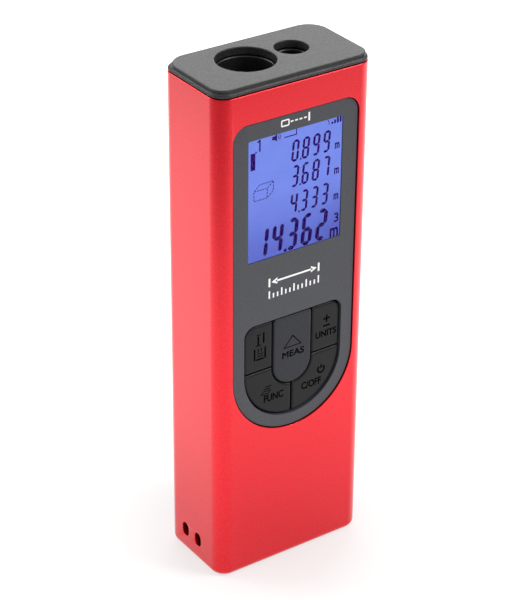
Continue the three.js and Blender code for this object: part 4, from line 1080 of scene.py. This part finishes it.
def makeCell(name, flipped):
    # a rolled can: dished foot, sleeve turned in over both ends, and a nipple on top
    low, high = extent(name)
    radius, length = (high[0] - low[0]) / 2, high[2] - low[2]
    crown, nipple = cell["crown"], cell["nipple"]
    profile = cutCorners(np.array([
        (0, 0.05), (radius * 0.55, 0.05), (radius * 0.62, 0.3), (radius - 0.55, 0.3),
        (radius - 0.3, 0.0), (radius, 0.25), (radius, length - 1.25),
        (radius - 0.3, length - 0.95), (radius - 0.8, length - 1.1), (crown, length - 1.1),
        (nipple, length - 0.9), (nipple, length - 0.15), (nipple - 0.3, length), (0, length)]), 1)
    if flipped:
        profile = np.column_stack([profile[:, 0], length - profile[:, 1]])[::-1]
    points, faces, _ = turned(profile, (low[:2] + high[:2]) / 2, low[2], cell["sides"])
    bare = np.repeat(profile[:-1, 0] < radius - cell["metal"], cell["sides"])
    patches = [(points, faces[~bare], 0), (points, faces[bare], 1)]
    makePiece(f"{name}_cell", patches, [sleeve, tinned], name)


def makeSpring(name, upward):
    # a helix on a cone: the radius falls evenly as the angle grows, and both ends lie flat
    low, high = extent(name)
    middle = (low + high) / 2
    wire, closed = spring["wire"], spring["closed"]
    t = np.linspace(0, 1, spring["steps"])
    wide = (high[0] - low[0]) / 2 - wire
    angle = t * spring["turns"] * 2 * np.pi
    radius = wide - (wide - spring["tip"]) * t
    climb = np.clip((t - closed) / (1 - 2 * closed), 0, 1)
    rise = wire + (high[2] - low[2] - 2 * wire) * climb
    z = low[2] + rise if upward else high[2] - rise
    path = np.column_stack([middle[0] + radius * np.cos(angle),
                            middle[1] + radius * np.sin(angle), z])
    makePiece(f"{name}_coil", [tube(path, wire)], [springSteel], name, sharp=60)


makeCell("battery_left", False)
makeCell("battery_right", True)
makeSpring("battery_spring_lower", True)
makeSpring("battery_spring_upper", False)

optics = dict(receiverBore=6.0, laserBore=3.25, wall=0.9, seat=0.6, seatGap=0.1, sensorBore=2.7,
              sensorZ=85.0, sensorTall=2.3, laserBottom=88.6, lip=0.15, spine=2.6,
              spineBottom=79.0, spineTop=112.0, spineCorner=1.0, spineEdge=(0.2, 0.2),
              curve=14.0, lensBevel=0.15, ringWall=0.5, barrelWall=0.65, barrelLip=0.12)


def pipe(inner, outer, low, high, lip, inside):
    # up the outside, over the mouth with its two small bevels, and down the bore
    return [(inner, low), (outer, low), (outer, high - lip), (outer - lip, high),
            (inner + inside, high), (inner, high - inside), (inner, low)]


def makeOptics():
    top, wall, lip, sensorZ = opticsHigh[2], optics["wall"], optics["lip"], optics["sensorZ"]
    bore, sensor = optics["receiverBore"], optics["sensorBore"]
    outer, seatZ = bore + wall, lensLow[2] - optics["seatGap"]
    receiver = [
        (sensor, sensorZ), (sensor + wall, sensorZ), (outer, seatZ - wall), (outer, top - lip),
        (outer - lip, top), (bore + lip, top), (bore, top - lip), (bore, seatZ),
        (bore - optics["seat"], seatZ), (sensor, sensorZ + optics["sensorTall"]),
        (sensor, sensorZ)]
    bore = optics["laserBore"]
    laser = pipe(bore, bore + wall, optics["laserBottom"], top, lip, lip)
    spine = roundedRect(opticsLow[0], opticsHigh[0], optics["spineBottom"], optics["spineTop"],
                        optics["spineCorner"], 7)
    plate = slab(backFace(opticsHigh[1]), spine, optics["spine"], optics["spineEdge"])
    makePiece("optics_barrels", [turned(receiver, receiverAt), turned(laser, laserAt), *plate],
              [darkBore], "optics_block")


def makeLens():
    # spherical cap: height = root of (curve squared less radius squared)
    radius = (lensHigh[0] - lensLow[0]) / 2
    curve, bevel, base = optics["curve"], optics["lensBevel"], lensLow[2]
    r = np.linspace(radius, 0, 12)
    dome = lensHigh[2] - curve + np.sqrt(curve ** 2 - r ** 2)
    profile = [(0, base), (radius - bevel, base), (radius, base + bevel), *zip(r, dome)]
    makePiece("receiver_lens_glass", [turned(profile, receiverAt)], [lensGlass],
              "receiver_lens")


def makeRing():
    outer = (ringHigh[0] - ringLow[0]) / 2
    profile = pipe(outer - optics["ringWall"], outer, ringLow[2], ringHigh[2], 0.0,
                   optics["lip"])
    makePiece("lens_ring_turned", [turned(profile, receiverAt)], [darkBore], "lens_ring")


def makeBarrel():
    outer = (barrelHigh[0] - barrelLow[0]) / 2
    profile = pipe(outer - optics["barrelWall"], outer, barrelLow[2], barrelHigh[2],
                   optics["lip"], optics["barrelLip"])
    makePiece("laser_barrel_turned", [turned(profile, laserAt)], [brass], "laser_barrel")


makeOptics()
makeLens()
makeRing()
makeBarrel()
print("power and optics made")

# ---- studio ----

# foot and the two distances after it paint a contact shadow into the floor's glow: half strength
# under the object, full from 95 mm out
studio = dict(world="#ffffff", worldStrength=0.5, glow=1.15, dim=0.1, near=262.0, far=400.0,
              middle=(110.0, 90.0, 0.0), foot=0.5, paintedShadowNear=0.0, paintedShadowFar=95.0,
              camera=(-230.12, -330.97, 289.60), target=(-0.33, -0.21, 60.61), roll=0.51,
              lens=129.1)


def lightTable():
    # opal acrylic lit from below: an even white whose light falls off round the middle, and a
    # painted contact shadow: the glow dimmed under the object and rising back to full away from it
    material, tree, shader, own = newMaterial("opalAcrylic", {
        "Roughness": 0.8, "Specular IOR Level": 0.1})
    finished(tree, shader, blended(tree, own, 60.0, "#999896", "#9b9a98", 2.0))
    away = addNode(tree, "VectorMath", {0: own, 1: tuple(v * mm for v in studio["middle"])},
                   operation="DISTANCE")
    glow = addNode(tree, "MapRange", {"Value": away.outputs["Value"],
                                      "From Min": studio["near"] * mm,
                                      "From Max": studio["far"] * mm, "To Min": studio["glow"],
                                      "To Max": studio["dim"]}, interpolation_type="SMOOTHSTEP")
    # painted contact shadow: the glow scaled from the foot share right under the object up to full
    # at the far distance
    out = addNode(tree, "VectorMath", {0: own}, operation="LENGTH")
    foot = addNode(tree, "MapRange", {"Value": out.outputs["Value"],
                                      "From Min": studio["paintedShadowNear"] * mm,
                                      "From Max": studio["paintedShadowFar"] * mm,
                                      "To Min": studio["foot"]}, interpolation_type="SMOOTHSTEP")
    level = addNode(tree, "Math", {0: glow.outputs["Result"], 1: foot.outputs["Result"]},
                    operation="MULTIPLY")
    shader.inputs["Emission Color"].default_value = linear("#ffffff")
    tree.links.new(level.outputs[0], shader.inputs["Emission Strength"])
    return material


def makeStudio():
    bpy.ops.mesh.primitive_plane_add(size=6.0, location=(0, 0, 0))
    floor = bpy.context.object
    floor.name = "studio_floor"
    floor.data.materials.append(lightTable())
    world = bpy.data.worlds.new("studio")
    scene.world = world
    world.use_nodes = True
    sky = world.node_tree.nodes["Background"]
    sky.inputs["Color"].default_value = linear(studio["world"])
    sky.inputs["Strength"].default_value = studio["worldStrength"]
    lamps = (("back_box", (0.75, 1.05, 0.75), (0, 0, 0.1), 1.1, 8.5),
             ("left_box", (-0.8, 1.0, 0.75), (0, 0, 0.08), 0.6, 9.0),
             ("right_box", (0.9, -0.85, 1.1), (0, 0, 0.08), 0.6, 16.0))
    for name, at, aim, size, power in lamps:
        lamp = bpy.data.lights.new(name, "AREA")
        lamp.size = size
        lamp.energy = power
        holder = bpy.data.objects.new(name, lamp)
        holder.location = at
        holder.rotation_euler = (Vector(aim) - Vector(at)).to_track_quat("-Z", "Y").to_euler()
        scene.collection.objects.link(holder)


def makeCamera():
    # stands at the viewing point and looks at the target, rolled a little about its own axis
    lens = bpy.data.cameras.new("camera")
    lens.lens = studio["lens"]
    lens.sensor_width = 36.0
    lens.clip_start = 0.01
    camera = bpy.data.objects.new("camera", lens)
    at, target = (Vector(studio[k]) * mm for k in ("camera", "target"))
    look = (target - at).to_track_quat("-Z", "Y").to_matrix().to_4x4()
    roll = Matrix.Rotation(np.radians(studio["roll"]), 4, "Z")
    camera.matrix_world = Matrix.Translation(at) @ look @ roll
    scene.collection.objects.link(camera)
    scene.camera = camera


makeStudio()
makeCamera()
scene.view_settings.view_transform = "Standard"
print("studio made")
